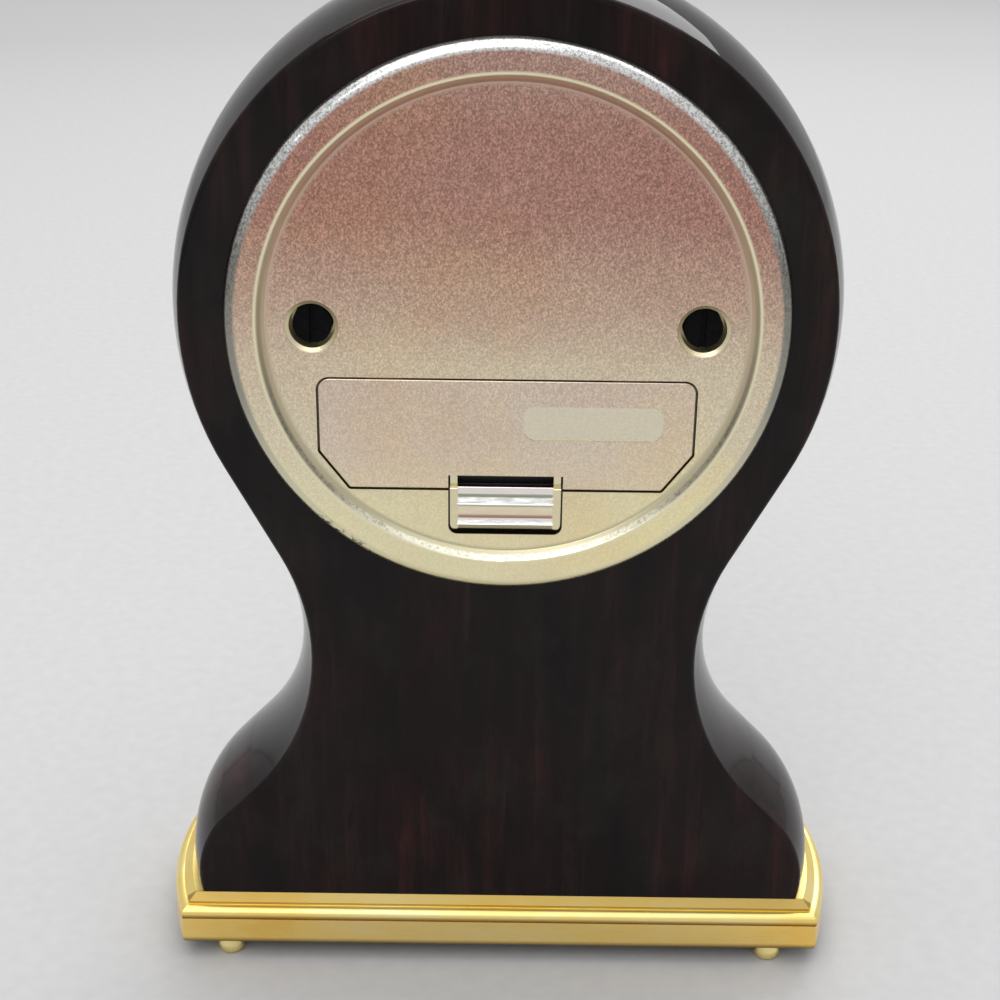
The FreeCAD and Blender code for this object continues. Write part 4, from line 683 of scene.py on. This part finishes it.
# ---------------------------------------------------------------- latch
# The sprung latch is a small casting, polished bright before it was plated, with two finger ribs.
# Painted highlights, shade and reflections lie in bands along the ribs, and its two cheeks are a
# plain darker gold. Its spring is a zigzag of steel wire between the latch's tongue and a stop
# inside the door.
latch_painted_light_bands = ((0.0, (0.20, 0.17, 0.10)), (0.080, (0.50, 0.45, 0.30)),
                 (0.088, (1.0, 1.0, 0.97)), (0.155, (1.0, 1.0, 0.96)),
                 (0.165, (0.48, 0.22, 0.18)), (0.205, (0.62, 0.38, 0.30)),
                 (0.225, (0.92, 0.82, 0.60)), (0.350, (0.94, 0.86, 0.64)),
                 (0.362, (0.45, 0.42, 0.30)), (0.374, (1.0, 1.0, 0.97)),
                 (0.445, (1.0, 1.0, 0.97)), (0.458, (0.34, 0.38, 0.26)),
                 (0.490, (0.46, 0.48, 0.36)), (0.505, (1.0, 0.95, 0.93)), (0.560, (1.0, 0.92, 0.90)))
latch_low, latch_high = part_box("door_latch")
latch_middle = (latch_low.x + latch_high.x) / 2
latch_half = (latch_high.x - latch_low.x) / 2
latch_gold, shader = finish("polished_latch", 0.1, 1.0)
rubbed = noise(latch_gold, (300.0, 1500.0, 1500.0), 3.0)
bright_gold = ramp(latch_gold, rubbed, (0.3, (0.92, 0.92, 0.90)), (0.7, 1.0))
up_latch = share(latch_gold, "Z", latch_low.z, latch_high.z - latch_low.z)
# painted highlights, shade and reflections in bands up the latch
latch_painted_light = ramp(latch_gold, up_latch, *latch_painted_light_bands)
cheeks = rising(latch_gold, share_each_way(latch_gold, "X", latch_middle, latch_half), 0.84, 0.87)
latch_painted_light = mixed(latch_gold, cheeks, latch_painted_light, (0.88, 0.79, 0.54))
link(latch_gold, times(latch_gold, bright_gold, latch_painted_light), shader.inputs["Base Color"])
polished(latch_gold, shader, rubbed, 0.07, 0.18)
dress(latch_gold, "door_latch")
dress(steel, "latch_spring")


# ---------------------------------------------------------------- floor, light and camera
# A wide pale table under a large soft box, with a window's light high on the cover's side and a
# fill high on the dial's side. The table's colour is painted light: greyer near the clock and paler
# with distance, making up for the lamps' light falling off.
floor_size = 8.0
pale_from = 3.2
card, shader = finish("pale_card", 0.9)
shader.inputs["Specular IOR Level"].default_value = 0.0
# painted light: the table pales with distance from the clock
near_grey = ramp(card, noise(card, 300.0), (0.3, 0.56), (0.7, 0.59))
away = from_centre(card, (0.0, 0.0, 0.0), pale_from, "XY")
link(card, mixed(card, rising(card, away, 0.40, 1.0), near_grey, 0.93), shader.inputs["Base Color"])
table = bmesh.new()
bmesh.ops.create_grid(table, x_segments=1, y_segments=1, size=floor_size / 2)
table_mesh = bpy.data.meshes.new("table")
table.to_mesh(table_mesh)
table.free()
table_mesh.materials.append(card)
table_top = bpy.data.objects.new("table", table_mesh)
bpy.context.scene.collection.objects.link(table_top)

light_all_round = (0.60, 0.60, 0.61, 1.0)
wall_grey = (0.55, 0.55, 0.555, 1.0)        # as grey as the far table
world = bpy.data.worlds.new("studio")
bpy.context.scene.world = world
world.use_nodes = True
sky = world.node_tree.nodes["Background"]
sky.inputs["Strength"].default_value = 1.0
backdrop = world.node_tree.nodes.new("ShaderNodeMix")
backdrop.data_type = "RGBA"
backdrop.inputs[6].default_value = light_all_round
backdrop.inputs[7].default_value = wall_grey
rays = world.node_tree.nodes.new("ShaderNodeLightPath")
world.node_tree.links.new(rays.outputs["Is Camera Ray"], backdrop.inputs[0])
world.node_tree.links.new(backdrop.outputs[2], sky.inputs["Color"])

lit_point = Vector((0.0, 0.0, 0.09))


def soft_box(name, spot, width, height, radiance):
    """A soft box aimed at the clock, as bright to look at as the radiance says."""
    lamp = bpy.data.lights.new(name, "AREA")
    lamp.shape = "RECTANGLE"
    lamp.size = width
    lamp.size_y = height
    lamp.energy = radiance * math.pi * width * height
    made = bpy.data.objects.new(name, lamp)
    made.location = spot
    made.rotation_euler = (lit_point - Vector(spot)).to_track_quat("-Z", "Y").to_euler()
    made.visible_camera = False
    bpy.context.scene.collection.objects.link(made)


soft_box("overhead", (0.0, -0.16, 1.10), 1.6, 1.2, 1.05)
soft_box("window", (0.20, 0.68, 0.84), 0.60, 0.65, 2.1)
soft_box("dial_fill", (-0.35, -1.20, 1.20), 1.4, 0.9, 2.6)

camera_place = Vector((0.99, 272.2, 201.2)) * millimetre
camera_pitch = math.radians(23.102)
camera_yaw = math.radians(-0.021)
camera_roll = math.radians(0.754)
camera = bpy.data.objects.new("camera", bpy.data.cameras.new("camera"))
camera.data.lens = 59.4
camera.data.sensor_width = 36.0
camera.matrix_world = (Matrix.Translation(camera_place)
                       @ Matrix.Rotation(math.pi + camera_yaw, 4, "Z")
                       @ Matrix.Rotation(math.pi / 2 - camera_pitch, 4, "X")
                       @ Matrix.Rotation(camera_roll, 4, "Z"))
bpy.context.scene.collection.objects.link(camera)
bpy.context.scene.camera = camera
bpy.context.scene.view_settings.view_transform = "Standard"
